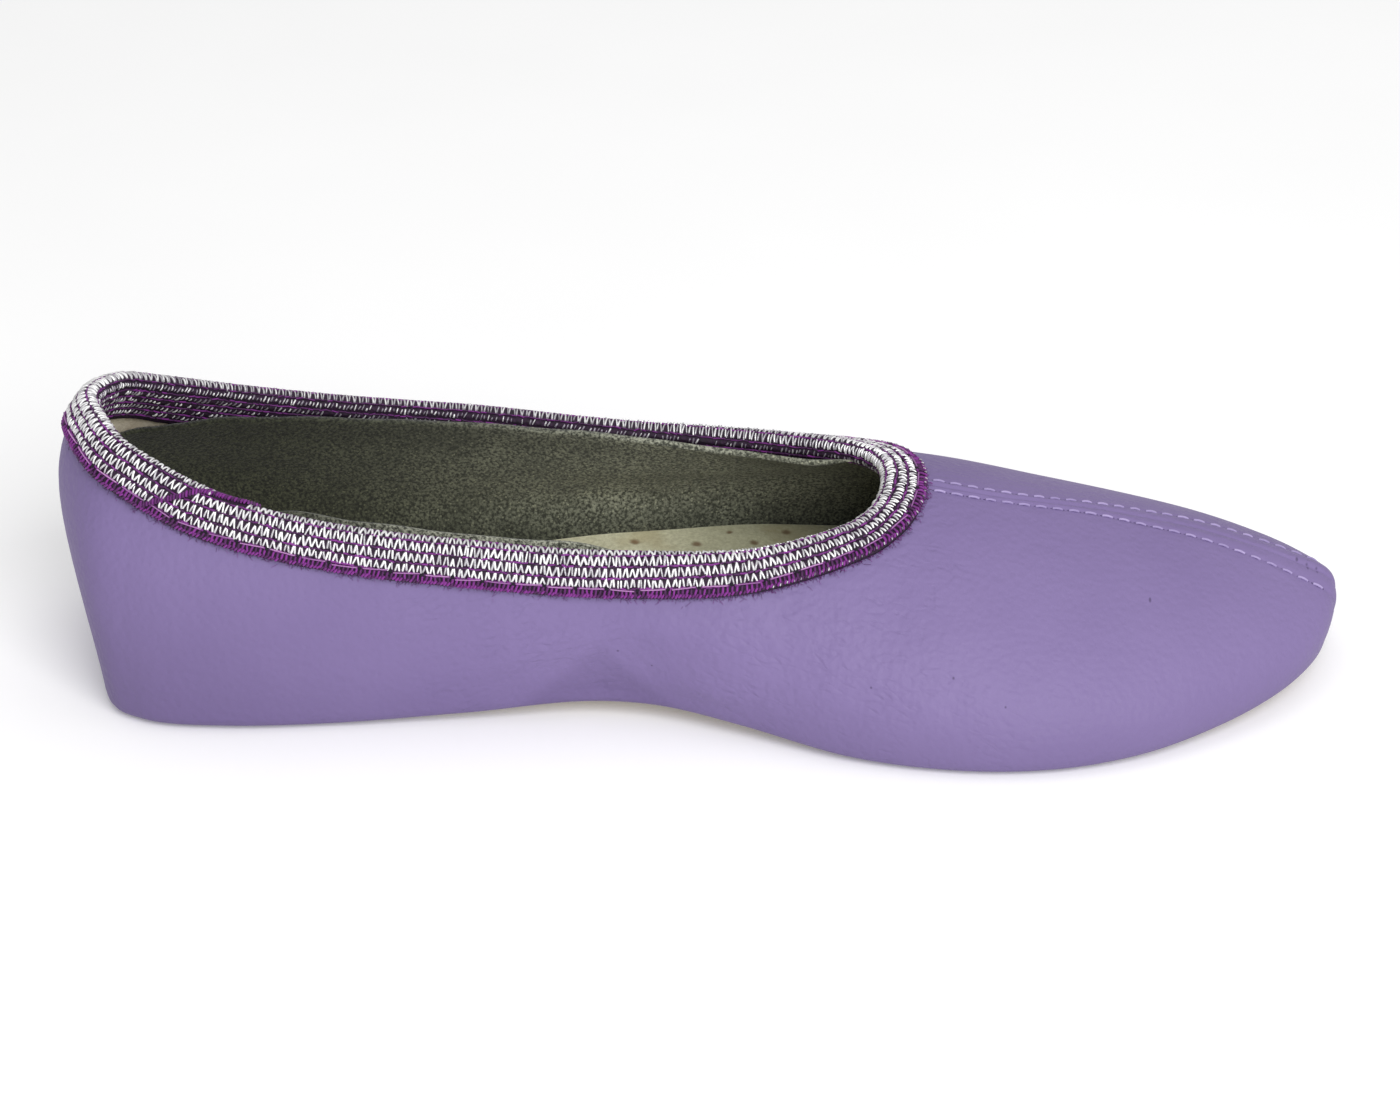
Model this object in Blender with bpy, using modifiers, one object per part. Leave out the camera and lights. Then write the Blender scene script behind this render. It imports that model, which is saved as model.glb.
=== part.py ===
"""Slipper-type gymnastics shoe for the left foot, in metres, toe to +X, top to +Z, inner side to -Y."""
import bpy
import numpy as np

# Driving sizes in millimetres
MM = 0.001
SOLE_LENGTH = 221.2
HEEL_SEAT_X = -107.4
HEEL_LEAN = 6.2
HEEL_LEAN_SHARE = 0.12
TOE_LEAN = 3.6
TOE_LEAN_SHARE = 0.22
CURL_RADIUS = 2.6
LIP_LENGTH = 1.0
WALL = 1.6
GAP = 0.3
OUTSOLE_THICKNESS = 2.0
OUTSOLE_INSET = CURL_RADIUS + LIP_LENGTH + GAP
OUTSOLE_DROP = 0.55
INSOLE_THICKNESS = 1.5
INSOLE_INSET = 2.7
INSOLE_RISE = WALL + GAP
BINDING_THICKNESS = 1.1
BINDING_DEPTH_OUTSIDE = 7.4
BINDING_DEPTH_INSIDE = 8.6
CENTRE_SHIFT = (-0.6, 0.83)

# Counts of ribs and rows
COLLAR_RIBS = 36
VAMP_RIBS = 20
WALL_ROWS = 10
CURL_ROWS = 2
SOLE_STATIONS = 46
SOLE_ROWS = 4
THROAT_FINE_FROM = 8.0
HEEL_FINE_TO = -88.0
VAMP_SPREAD = 1.2

# Plan outline of the shoe, half widths from the straight heel to toe axis
OUTLINE_COLUMNS = ("share", "inner", "outer")
OUTLINE = (
    (0.000, 0.0, 0.0),
    (0.010, 20.0, 19.5),
    (0.040, 26.7, 26.0),
    (0.110, 29.1, 28.5),
    (0.200, 28.3, 30.0),
    (0.300, 26.7, 32.0),
    (0.400, 25.7, 34.5),
    (0.450, 26.9, 36.0),
    (0.520, 32.5, 38.5),
    (0.600, 39.5, 41.0),
    (0.700, 43.7, 42.0),
    (0.760, 43.3, 40.0),
    (0.830, 39.5, 36.0),
    (0.900, 31.3, 30.0),
    (0.960, 20.5, 20.0),
    (0.988, 11.2, 11.2),
    (1.000, -2.0, 2.0),
)

# Cross sections along the sole: lowest edge, crown line and the handles that shape each rib
SECTION_COLUMNS = (
    "share", "lift", "crown_z", "crown_y", "crown_half", "side_handle",
    "inner_flare", "outer_flare", "crown_out", "crown_drop",
)
SECTION = (
    (0.000, 0.40, 58.0, 0.0, 0.0, 0.35, 2.0, 2.0, 22.5, 18.0),
    (0.010, 0.40, 57.0, 0.0, 6.0, 0.35, 2.0, 2.0, 16.5, 18.0),
    (0.040, 0.40, 53.5, 0.0, 11.5, 0.37, 1.6, 1.6, 9.5, 16.0),
    (0.110, 0.40, 47.5, 0.0, 18.5, 0.40, 1.2, 1.2, 6.0, 14.0),
    (0.200, 0.55, 43.0, 0.0, 22.3, 0.40, 1.0, 1.0, 4.2, 12.0),
    (0.300, 1.60, 40.5, -0.1, 23.8, 0.40, 1.0, 0.5, 3.7, 12.0),
    (0.420, 3.40, 38.0, -0.4, 22.3, 0.40, 1.5, 0.0, 4.5, 11.0),
    (0.470, 3.10, 37.6, -0.4, 19.6, 0.40, 1.5, 0.0, 7.2, 9.0),
    (0.520, 2.40, 37.3, -0.3, 14.8, 0.40, 1.5, 0.0, 11.5, 6.5),
    (0.560, 1.50, 37.0, 0.0, 9.0, 0.41, 1.2, 0.0, 16.0, 4.5),
    (0.600, 0.75, 36.6, 0.3, 3.0, 0.42, 1.0, 0.0, 20.5, 2.5),
    (0.630, 0.50, 35.9, 0.4, 0.0, 0.43, 0.8, 0.0, 22.5, 1.5),
    (0.670, 0.40, 34.2, 0.3, 0.0, 0.45, 0.5, 0.0, 22.0, 1.0),
    (0.775, 0.50, 29.3, 0.3, 0.0, 0.48, 0.5, 0.0, 18.5, 1.0),
    (0.890, 1.90, 23.6, 0.8, 0.0, 0.50, 0.5, 0.0, 14.0, 0.8),
    (0.950, 3.40, 20.0, 1.5, 0.0, 0.50, 0.8, 0.8, 9.5, 0.5),
    (1.000, 4.90, 16.8, 2.0, 0.0, 0.50, 2.0, 2.0, 5.0, 0.3),
)

# Side profile that the top edge follows
COLLAR_COLUMNS = ("x", "z")
COLLAR = (
    (-115.0, 53.0),
    (-107.5, 51.8),
    (-98.7, 47.6),
    (-87.4, 43.0),
    (-72.7, 39.4),
    (-53.9, 36.6),
    (-40.0, 35.2),
    (-22.6, 33.3),
    (-7.4, 32.4),
    (10.8, 32.0),
    (23.0, 32.9),
    (28.6, 33.65),
    (31.9, 34.6),
    (33.4, 35.4),
    (34.2, 36.2),
)

INNER = -1
OUTER = 1


def hermite(knots, values, slopes, x):
    """Cubic curve through the values with the given slopes."""
    i = np.clip(np.searchsorted(knots, x, side="right") - 1, 0, len(knots) - 2)
    span = knots[i + 1] - knots[i]
    u = (x - knots[i]) / span
    start = (2 * u**3 - 3 * u**2 + 1) * values[i] + (u**3 - 2 * u**2 + u) * span * slopes[i]
    end = (3 * u**2 - 2 * u**3) * values[i + 1] + (u**3 - u**2) * span * slopes[i + 1]
    return start + end


def along(table, columns, name, t, round_ends=False):
    """Value of a table column at t, which runs 0 at the heel to 1 at the toe, finer at both ends."""
    knots = np.arccos(1 - 2 * np.array([row[0] for row in table])) / np.pi
    values = np.array([row[columns.index(name)] for row in table])
    slopes = np.gradient(values, knots)
    if not round_ends:
        slopes[0] = 0
        slopes[-1] = 0
    return hermite(knots, values, slopes, np.clip(t, 0, 1))


def section(name, t, round_ends=False):
    return along(SECTION, SECTION_COLUMNS, name, t, round_ends)


def share_at(t):
    return (1 - np.cos(np.pi * t)) / 2


def t_at(share):
    return np.arccos(1 - 2 * share) / np.pi


def edge_plan(t, side):
    """Point of the plan outline and its outward direction."""
    name = "inner" if side == INNER else "outer"

    def point(at):
        x = HEEL_SEAT_X + SOLE_LENGTH * share_at(at)
        return np.stack([x, side * along(OUTLINE, OUTLINE_COLUMNS, name, at, True)], -1)

    step = point(np.clip(t + 1e-4, 0, 1)) - point(np.clip(t - 1e-4, 0, 1))
    out = np.stack([-step[..., 1] * side, step[..., 0] * side], -1)
    return point(t), out / np.linalg.norm(out, axis=-1, keepdims=True)


def crown_x(t):
    share = share_at(t)
    heel = HEEL_LEAN * np.clip(1 - share / HEEL_LEAN_SHARE, 0, 1) ** 2
    toe = TOE_LEAN * np.clip(1 - (1 - share) / TOE_LEAN_SHARE, 0, 1) ** 2
    return HEEL_SEAT_X + SOLE_LENGTH * share + heel - toe


def rib(t, side):
    """Four control points of the rib that climbs from the curl to the crown line."""
    share = share_at(t)
    plan, out = edge_plan(t, side)
    low = section("lift", t) + CURL_RADIUS
    top = section("crown_z", t)
    half = np.maximum(section("crown_half", t, True), 0)
    flare = section("inner_flare" if side == INNER else "outer_flare", t)
    start = np.concatenate([plan, low[..., None]], -1)
    end = np.stack([crown_x(t), section("crown_y", t) + side * half, top], -1)
    rise = start.copy()
    rise[..., :2] += out * flare[..., None]
    rise[..., 2] += section("side_handle", t) * (top - low)
    ends = np.clip((0.45 - share) / 0.25, 0, 1) + np.clip((share - 0.90) / 0.10, 0, 1)
    across = np.stack([out[..., 0] * ends, out[..., 1]], -1)
    across /= np.maximum(np.linalg.norm(across, axis=-1, keepdims=True), 1e-9)
    roof = end.copy()
    roof[..., :2] += across * section("crown_out", t)[..., None]
    roof[..., 2] -= section("crown_drop", t)
    ahead = t_at(np.clip(share + 1e-3, 0, 1))
    behind = t_at(np.clip(share - 1e-3, 0, 1))
    slope = (section("crown_z", ahead) - section("crown_z", behind)) / (crown_x(ahead) - crown_x(behind))
    vamp = np.clip((share - 0.60) / 0.06, 0, 1)
    roof[..., 2] += vamp * np.clip(slope, -0.7, 0.2) * (roof[..., 0] - end[..., 0])
    return start, rise, roof, end


def last_point(t, h, side):
    """Point of the outer surface at rib t and height share h."""
    start, rise, roof, end = rib(t, side)
    h = h[..., None]
    return (1 - h) ** 3 * start + 3 * (1 - h) ** 2 * h * rise + 3 * (1 - h) * h**2 * roof + h**3 * end


def last_slopes(t, h, side):
    """Directions of the surface along t and along h, and its outward normal."""
    t0 = np.clip(t - 1e-4, 0, 1)
    t1 = np.clip(t + 1e-4, 0, 1)
    h0 = h - 1e-4
    h1 = h + 1e-4
    by_t = (last_point(t1, h, side) - last_point(t0, h, side)) / (t1 - t0)[..., None]
    by_h = (last_point(t, h1, side) - last_point(t, h0, side)) / 2e-4
    normal = np.cross(by_t, by_h) * -side
    return by_t, by_h, normal / np.linalg.norm(normal, axis=-1, keepdims=True)


def collar_height(x):
    knots = np.array([row[0] for row in COLLAR])
    values = np.array([row[1] for row in COLLAR])
    inside = hermite(knots, values, np.gradient(values, knots), np.clip(x, knots[0], knots[-1]))
    return inside + 2 * np.maximum(x - knots[-1], 0)


def collar_share(t, side):
    """Height share where each rib meets the collar profile, 1 where the rib runs on to the ridge."""
    low = np.zeros_like(t)
    steps = np.linspace(0, 1, 201)
    found = np.ones_like(t)
    for i in range(len(t)):
        points = last_point(np.full_like(steps, t[i]), steps, side)
        above = np.nonzero(points[:, 2] > collar_height(points[:, 0]))[0]
        if len(above) == 0:
            continue
        low[i] = steps[above[0] - 1]
        high = steps[above[0]]
        for _ in range(30):
            middle = (low[i] + high) / 2
            point = last_point(t[i:i + 1], np.array([middle]), side)[0]
            if point[2] > collar_height(point[0]):
                high = middle
            else:
                low[i] = middle
        found[i] = high
    return found


def throat_t():
    """Rib whose crown lies on the collar profile at the front of the opening."""
    low = t_at(0.632)
    high = t_at(0.680)
    for _ in range(40):
        middle = (low + high) / 2
        at = np.array([middle])
        if section("crown_z", at)[0] > collar_height(crown_x(at))[0]:
            low = middle
        else:
            high = middle
    return (low + high) / 2


def rib_stations():
    """Rib places, evenly spaced along the collar and then along the vamp."""
    front = throat_t()
    dense = np.linspace(0, front, 500)
    edge = last_point(dense, collar_share(dense, INNER), INNER)
    steps = np.linalg.norm(np.diff(edge, axis=0), axis=1)
    middle = (edge[1:, 0] + edge[:-1, 0]) / 2
    throat = np.clip((middle - THROAT_FINE_FROM) / 10, 0, 1)
    heel = np.clip((HEEL_FINE_TO - middle) / 10, 0, 1)
    length = np.concatenate([[0], np.cumsum(steps * (1 + throat + 0.6 * heel))])
    collar = np.interp(np.linspace(0, length[-1], COLLAR_RIBS + 1), length, dense)
    vamp = front + (1 - front) * np.linspace(0, 1, VAMP_RIBS + 1)[1:] ** VAMP_SPREAD
    return np.concatenate([collar, vamp])


def curl_point(t, side, angle, lip):
    """Point of the lower edge, rolled under by an angle and carried inward by the lip."""
    plan, out = edge_plan(t, side)
    inward = CURL_RADIUS * (1 - np.cos(angle)) + lip
    x_y = plan - out * inward
    z = section("lift", t) + CURL_RADIUS * (1 - np.sin(angle))
    return np.concatenate([x_y, z[..., None]], -1)


def new_object(name, collection, material, vertices, faces):
    """Named mesh object from points in millimetres."""
    points = np.array(vertices) + np.array([CENTRE_SHIFT[0], CENTRE_SHIFT[1], 0.0])
    mesh = bpy.data.meshes.new(name)
    mesh.from_pydata([tuple(p) for p in points * MM], [], faces)
    mesh.materials.append(material)
    item = bpy.data.objects.new(name, mesh)
    collection.objects.link(item)
    return item


def new_material(name, colour, roughness):
    material = bpy.data.materials.new(name)
    material.use_nodes = True
    shader = material.node_tree.nodes["Principled BSDF"]
    shader.inputs["Base Color"].default_value = (colour[0], colour[1], colour[2], 1.0)
    shader.inputs["Roughness"].default_value = roughness
    shader.inputs["Metallic"].default_value = 0.0
    return material


def thicken(item, thickness, offset):
    """Solid wall from the open surface."""
    wall = item.modifiers.new("wall", "SOLIDIFY")
    wall.thickness = thickness * MM
    wall.offset = offset
    wall.use_even_offset = True
    wall.use_quality_normals = True
    wall.use_rim = True


def loop_columns(count):
    """Rib number and side of every column, up the inner side and back down the outer side."""
    inner = [(i, INNER) for i in range(count + 1)]
    outer = [(i, OUTER) for i in range(count - 1, 0, -1)]
    return inner + outer


def build_upper(collection, material, stations):
    """Wall of the last from the turned-under lip to the collar, closed over the vamp."""
    ribs = len(stations) - 1
    angles = np.linspace(np.pi / 2, 0, CURL_ROWS + 1)[:-1]
    rows = 1 + len(angles) + WALL_ROWS + 1
    points = {}
    for side in (INNER, OUTER):
        top = collar_share(stations, side)
        top[COLLAR_RIBS:] = 1.0
        lines = [curl_point(stations, side, np.pi / 2, LIP_LENGTH)]
        lines += [curl_point(stations, side, angle, 0.0) for angle in angles]
        lines += [last_point(stations, top * step, side) for step in np.linspace(0, 1, WALL_ROWS + 1)]
        points[side] = np.array(lines)
    vertices = []
    index = {}
    columns = loop_columns(ribs)
    for column, (i, side) in enumerate(columns):
        for row in range(rows):
            shared = row == rows - 1 and i >= COLLAR_RIBS and side == OUTER
            if shared:
                index[column, row] = index[i, row]
                continue
            index[column, row] = len(vertices)
            vertices.append(points[side][row, i])
    faces = []
    for column in range(len(columns)):
        after = (column + 1) % len(columns)
        for row in range(rows - 1):
            corners = (index[column, row], index[after, row], index[after, row + 1], index[column, row + 1])
            face = tuple(dict.fromkeys(corners))
            if len(face) > 2:
                faces.append(face)
    item = new_object("upper", collection, material, vertices, faces)
    thicken(item, WALL, -1.0)
    return item


def walk_down(t, h, side, along_edge, depth):
    """Points and normals of the surface, walked squarely away from the collar edge by each depth."""
    by_t, by_h, normal = last_slopes(t, h, side)
    down = np.cross(normal, along_edge) * side
    down /= np.linalg.norm(down, axis=-1, keepdims=True)
    points = last_point(t, h, side)
    found = [(points, normal, down)]
    walked = 0.0
    for target in depth[1:]:
        parts = int(np.ceil((target - walked) / 0.5))
        step = (target - walked) / parts
        for _ in range(parts):
            by_t, by_h, normal = last_slopes(t, h, side)
            down = down - normal * np.sum(down * normal, -1, keepdims=True)
            down /= np.linalg.norm(down, axis=-1, keepdims=True)
            a = np.sum(by_t * by_t, -1)
            b = np.sum(by_t * by_h, -1)
            c = np.sum(by_h * by_h, -1)
            p = np.sum(by_t * down, -1) * step
            q = np.sum(by_h * down, -1) * step
            t = np.clip(t + (c * p - b * q) / (a * c - b * b), 0, 1)
            h = np.clip(h + (a * q - b * p) / (a * c - b * b), 0, 1)
        walked = target
        found.append((last_point(t, h, side), last_slopes(t, h, side)[2], down))
    return found


def binding_section():
    """Outline of the folded elastic as pairs of height off the wall and depth from the edge."""
    outer = GAP + BINDING_THICKNESS
    inner = -WALL - GAP - BINDING_THICKNESS
    middle = (outer + inner) / 2
    radius = (outer - inner) / 2
    start = radius - GAP - BINDING_THICKNESS
    third = BINDING_DEPTH_OUTSIDE / 3
    section_line = [(GAP, BINDING_DEPTH_OUTSIDE), (outer, BINDING_DEPTH_OUTSIDE)]
    section_line += [(outer, 2 * third), (outer, third)]
    for angle in np.linspace(0, np.pi, 5):
        section_line.append((middle + radius * np.cos(angle), start - radius * np.sin(angle)))
    section_line += [(inner, third), (inner, 2 * third), (inner, BINDING_DEPTH_INSIDE)]
    section_line += [(-WALL - GAP, BINDING_DEPTH_INSIDE), (-WALL - GAP, 2 * third), (-WALL - GAP, third)]
    section_line += [(-WALL - GAP, -GAP), (GAP, -GAP), (GAP, third), (GAP, 2 * third)]
    return section_line


def build_binding(collection, material, stations):
    """Folded elastic swept round the collar edge."""
    line = binding_section()
    depths = sorted({0.0} | {depth for _, depth in line if depth > 0})
    t = stations[:COLLAR_RIBS + 1]
    walls = {}
    for side in (INNER, OUTER):
        h = collar_share(t, side)
        h[-1] = 1.0
        edge = last_point(t, h, side)
        mirror = np.array([1.0, -1.0, 1.0])
        padded = np.concatenate([edge[1:2] * mirror, edge, edge[-2:-1] * mirror])
        tangent = padded[2:] - padded[:-2]
        tangent[0] = (0.0, side, 0.0)
        tangent[-1] = (0.0, -side, 0.0)
        tangent /= np.linalg.norm(tangent, axis=-1, keepdims=True)
        walls[side] = walk_down(t, h, side, tangent, depths)
    vertices = []
    faces = []
    columns = loop_columns(COLLAR_RIBS)
    size = len(line)
    for i, side in columns:
        for height, depth in line:
            place = depths.index(depth) if depth > 0 else 0
            point, normal, down = (part[i] for part in walls[side][place])
            above = down * min(depth, 0.0)
            vertices.append(point + normal * height + above)
    for column in range(len(columns)):
        after = (column + 1) % len(columns)
        for k in range(size):
            follow = (k + 1) % size
            faces.append((column * size + k, after * size + k,
                          after * size + follow, column * size + follow))
    return new_object("collar_binding", collection, material, vertices, faces)


def sole_height(t):
    """Underside of the outsole, flat on the ground under the heel and the ball."""
    return np.maximum(section("lift", t) - OUTSOLE_DROP, 0.0)


def build_sheet(name, collection, material, inset, height, thickness):
    """Sheet inside the outline, thickened upward from the given underside."""
    stations = np.linspace(0, 1, SOLE_STATIONS + 1)
    edges = {}
    for side in (INNER, OUTER):
        plan, out = edge_plan(stations, side)
        edges[side] = plan - out * inset
    level = height(stations)
    vertices = []
    index = {}
    for i in range(SOLE_STATIONS + 1):
        for j in range(SOLE_ROWS + 1):
            tip = i in (0, SOLE_STATIONS)
            if tip and j > 0:
                index[i, j] = index[i, 0]
                continue
            mix = 0.5 - 0.5 * np.cos(np.pi * j / SOLE_ROWS)
            x_y = edges[INNER][i] * (1 - mix) + edges[OUTER][i] * mix
            index[i, j] = len(vertices)
            vertices.append((x_y[0], x_y[1], level[i]))
    faces = []
    for i in range(SOLE_STATIONS):
        for j in range(SOLE_ROWS):
            corners = (index[i, j], index[i, j + 1], index[i + 1, j + 1], index[i + 1, j])
            faces.append(tuple(dict.fromkeys(corners)))
    item = new_object(name, collection, material, vertices, faces)
    thicken(item, thickness, -1.0)
    return item


def main():
    for item in list(bpy.data.objects):
        bpy.data.objects.remove(item, do_unlink=True)
    shoe = bpy.data.collections.new("gymnastics_shoe")
    bpy.context.scene.collection.children.link(shoe)
    leather = new_material("lilac_leather", (0.26, 0.19, 0.40), 0.55)
    elastic = new_material("purple_elastic", (0.40, 0.33, 0.45), 0.60)
    suede = new_material("beige_suede", (0.40, 0.33, 0.25), 0.90)
    board = new_material("pale_board", (0.35, 0.33, 0.20), 0.80)
    stations = rib_stations()
    build_upper(shoe, leather, stations)
    build_binding(shoe, elastic, stations)
    build_sheet("outsole", shoe, suede, OUTSOLE_INSET, sole_height, OUTSOLE_THICKNESS)

    def insole_height(t):
        return section("lift", t) + INSOLE_RISE

    build_sheet("insole", shoe, board, INSOLE_INSET, insole_height, INSOLE_THICKNESS)


main()
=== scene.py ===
"""Look of the lilac gymnastics shoe: leather, knitted binding, felt, insole, sole, thread and light."""
import bpy
import bmesh
import numpy as np
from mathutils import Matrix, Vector


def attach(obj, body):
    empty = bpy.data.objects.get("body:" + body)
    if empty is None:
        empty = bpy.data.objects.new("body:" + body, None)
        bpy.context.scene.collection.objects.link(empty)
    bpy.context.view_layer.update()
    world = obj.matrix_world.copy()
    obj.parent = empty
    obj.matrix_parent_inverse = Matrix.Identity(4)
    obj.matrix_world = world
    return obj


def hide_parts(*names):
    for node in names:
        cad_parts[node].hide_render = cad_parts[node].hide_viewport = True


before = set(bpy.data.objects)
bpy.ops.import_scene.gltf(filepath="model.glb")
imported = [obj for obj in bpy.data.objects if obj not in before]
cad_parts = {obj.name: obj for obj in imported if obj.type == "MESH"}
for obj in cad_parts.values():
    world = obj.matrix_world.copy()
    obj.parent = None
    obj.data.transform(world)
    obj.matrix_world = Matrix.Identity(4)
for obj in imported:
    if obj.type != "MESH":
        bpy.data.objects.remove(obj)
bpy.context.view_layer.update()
rng = np.random.default_rng(7)

# Sizes of the shoe in millimetres, as in the solids
MM = 0.001
SOLE_LENGTH = 221.2
HEEL_SEAT_X = -107.4
HEEL_LEAN = 6.2
HEEL_LEAN_SHARE = 0.12
TOE_LEAN = 3.6
TOE_LEAN_SHARE = 0.22
CURL_RADIUS = 2.6
LIP_LENGTH = 1.0
WALL = 1.6
GAP = 0.3
OUTSOLE_THICKNESS = 2.0
OUTSOLE_INSET = CURL_RADIUS + LIP_LENGTH + GAP
OUTSOLE_DROP = 0.55
INSOLE_THICKNESS = 1.5
INSOLE_INSET = 2.7
INSOLE_RISE = WALL + GAP
BINDING_THICKNESS = 1.1
BINDING_DEPTH_INSIDE = 8.6
CENTRE_SHIFT = np.array([-0.6, 0.83, 0.0])

# Plan outline of the shoe, half widths from the straight heel to toe axis
OUTLINE_COLUMNS = ("share", "inner", "outer")
OUTLINE = (
    (0.000, 0.0, 0.0),
    (0.010, 20.0, 19.5),
    (0.040, 26.7, 26.0),
    (0.110, 29.1, 28.5),
    (0.200, 28.3, 30.0),
    (0.300, 26.7, 32.0),
    (0.400, 25.7, 34.5),
    (0.450, 26.9, 36.0),
    (0.520, 32.5, 38.5),
    (0.600, 39.5, 41.0),
    (0.700, 43.7, 42.0),
    (0.760, 43.3, 40.0),
    (0.830, 39.5, 36.0),
    (0.900, 31.3, 30.0),
    (0.960, 20.5, 20.0),
    (0.988, 11.2, 11.2),
    (1.000, -2.0, 2.0),
)

# Cross sections along the sole: lowest edge, crown line and the handles that shape each rib
SECTION_COLUMNS = (
    "share", "lift", "crown_z", "crown_y", "crown_half", "side_handle",
    "inner_flare", "outer_flare", "crown_out", "crown_drop",
)
SECTION = (
    (0.000, 0.40, 58.0, 0.0, 0.0, 0.35, 2.0, 2.0, 22.5, 18.0),
    (0.010, 0.40, 57.0, 0.0, 6.0, 0.35, 2.0, 2.0, 16.5, 18.0),
    (0.040, 0.40, 53.5, 0.0, 11.5, 0.37, 1.6, 1.6, 9.5, 16.0),
    (0.110, 0.40, 47.5, 0.0, 18.5, 0.40, 1.2, 1.2, 6.0, 14.0),
    (0.200, 0.55, 43.0, 0.0, 22.3, 0.40, 1.0, 1.0, 4.2, 12.0),
    (0.300, 1.60, 40.5, -0.1, 23.8, 0.40, 1.0, 0.5, 3.7, 12.0),
    (0.420, 3.40, 38.0, -0.4, 22.3, 0.40, 1.5, 0.0, 4.5, 11.0),
    (0.470, 3.10, 37.6, -0.4, 19.6, 0.40, 1.5, 0.0, 7.2, 9.0),
    (0.520, 2.40, 37.3, -0.3, 14.8, 0.40, 1.5, 0.0, 11.5, 6.5),
    (0.560, 1.50, 37.0, 0.0, 9.0, 0.41, 1.2, 0.0, 16.0, 4.5),
    (0.600, 0.75, 36.6, 0.3, 3.0, 0.42, 1.0, 0.0, 20.5, 2.5),
    (0.630, 0.50, 35.9, 0.4, 0.0, 0.43, 0.8, 0.0, 22.5, 1.5),
    (0.670, 0.40, 34.2, 0.3, 0.0, 0.45, 0.5, 0.0, 22.0, 1.0),
    (0.775, 0.50, 29.3, 0.3, 0.0, 0.48, 0.5, 0.0, 18.5, 1.0),
    (0.890, 1.90, 23.6, 0.8, 0.0, 0.50, 0.5, 0.0, 14.0, 0.8),
    (0.950, 3.40, 20.0, 1.5, 0.0, 0.50, 0.8, 0.8, 9.5, 0.5),
    (1.000, 4.90, 16.8, 2.0, 0.0, 0.50, 2.0, 2.0, 5.0, 0.3),
)

# Side profile that the top edge follows
COLLAR = (
    (-115.0, 53.0),
    (-107.5, 51.8),
    (-98.7, 47.6),
    (-87.4, 43.0),
    (-72.7, 39.4),
    (-53.9, 36.6),
    (-40.0, 35.2),
    (-22.6, 33.3),
    (-7.4, 32.4),
    (10.8, 32.0),
    (23.0, 32.9),
    (28.6, 33.65),
    (31.9, 34.6),
    (33.4, 35.4),
    (34.2, 36.2),
)

INNER = -1
OUTER = 1


# Shape of the last
def hermite(knots, values, slopes, x):
    """Cubic curve through the values with the given slopes."""
    i = np.clip(np.searchsorted(knots, x, side="right") - 1, 0, len(knots) - 2)
    span = knots[i + 1] - knots[i]
    u = (x - knots[i]) / span
    start = (2 * u**3 - 3 * u**2 + 1) * values[i] + (u**3 - 2 * u**2 + u) * span * slopes[i]
    end = (3 * u**2 - 2 * u**3) * values[i + 1] + (u**3 - u**2) * span * slopes[i + 1]
    return start + end


def curve(knots, values, x, round_ends=False):
    """Smooth curve through values at knots, held beyond its ends and level there unless they are round."""
    slopes = np.gradient(values, knots)
    if not round_ends:
        slopes[[0, -1]] = 0
    return hermite(knots, values, slopes, np.clip(x, knots[0], knots[-1]))


def table_curve(table, x):
    """Smooth curve through the two columns of a small table."""
    knots, values = np.array(table, float).T
    return curve(knots, values, x)


def along(table, columns, name, t, round_ends=False):
    """Value of a table column at t, which runs 0 at the heel to 1 at the toe, finer at both ends."""
    rows = np.array(table)
    return curve(t_at(rows[:, 0]), rows[:, columns.index(name)], t, round_ends)


def section(name, t, round_ends=False):
    return along(SECTION, SECTION_COLUMNS, name, t, round_ends)


def share_at(t):
    return (1 - np.cos(np.pi * t)) / 2


def t_at(share):
    return np.arccos(1 - 2 * share) / np.pi


def edge_plan(t, side):
    """Point of the plan outline and its outward direction."""
    name = "inner" if side == INNER else "outer"

    def point(at):
        x = HEEL_SEAT_X + SOLE_LENGTH * share_at(at)
        return np.stack([x, side * along(OUTLINE, OUTLINE_COLUMNS, name, at, True)], -1)

    step = point(np.clip(t + 1e-4, 0, 1)) - point(np.clip(t - 1e-4, 0, 1))
    out = np.stack([-step[..., 1] * side, step[..., 0] * side], -1)
    return point(t), out / np.linalg.norm(out, axis=-1, keepdims=True)


def crown_x(t):
    share = share_at(t)
    heel = HEEL_LEAN * np.clip(1 - share / HEEL_LEAN_SHARE, 0, 1) ** 2
    toe = TOE_LEAN * np.clip(1 - (1 - share) / TOE_LEAN_SHARE, 0, 1) ** 2
    return HEEL_SEAT_X + SOLE_LENGTH * share + heel - toe


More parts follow.
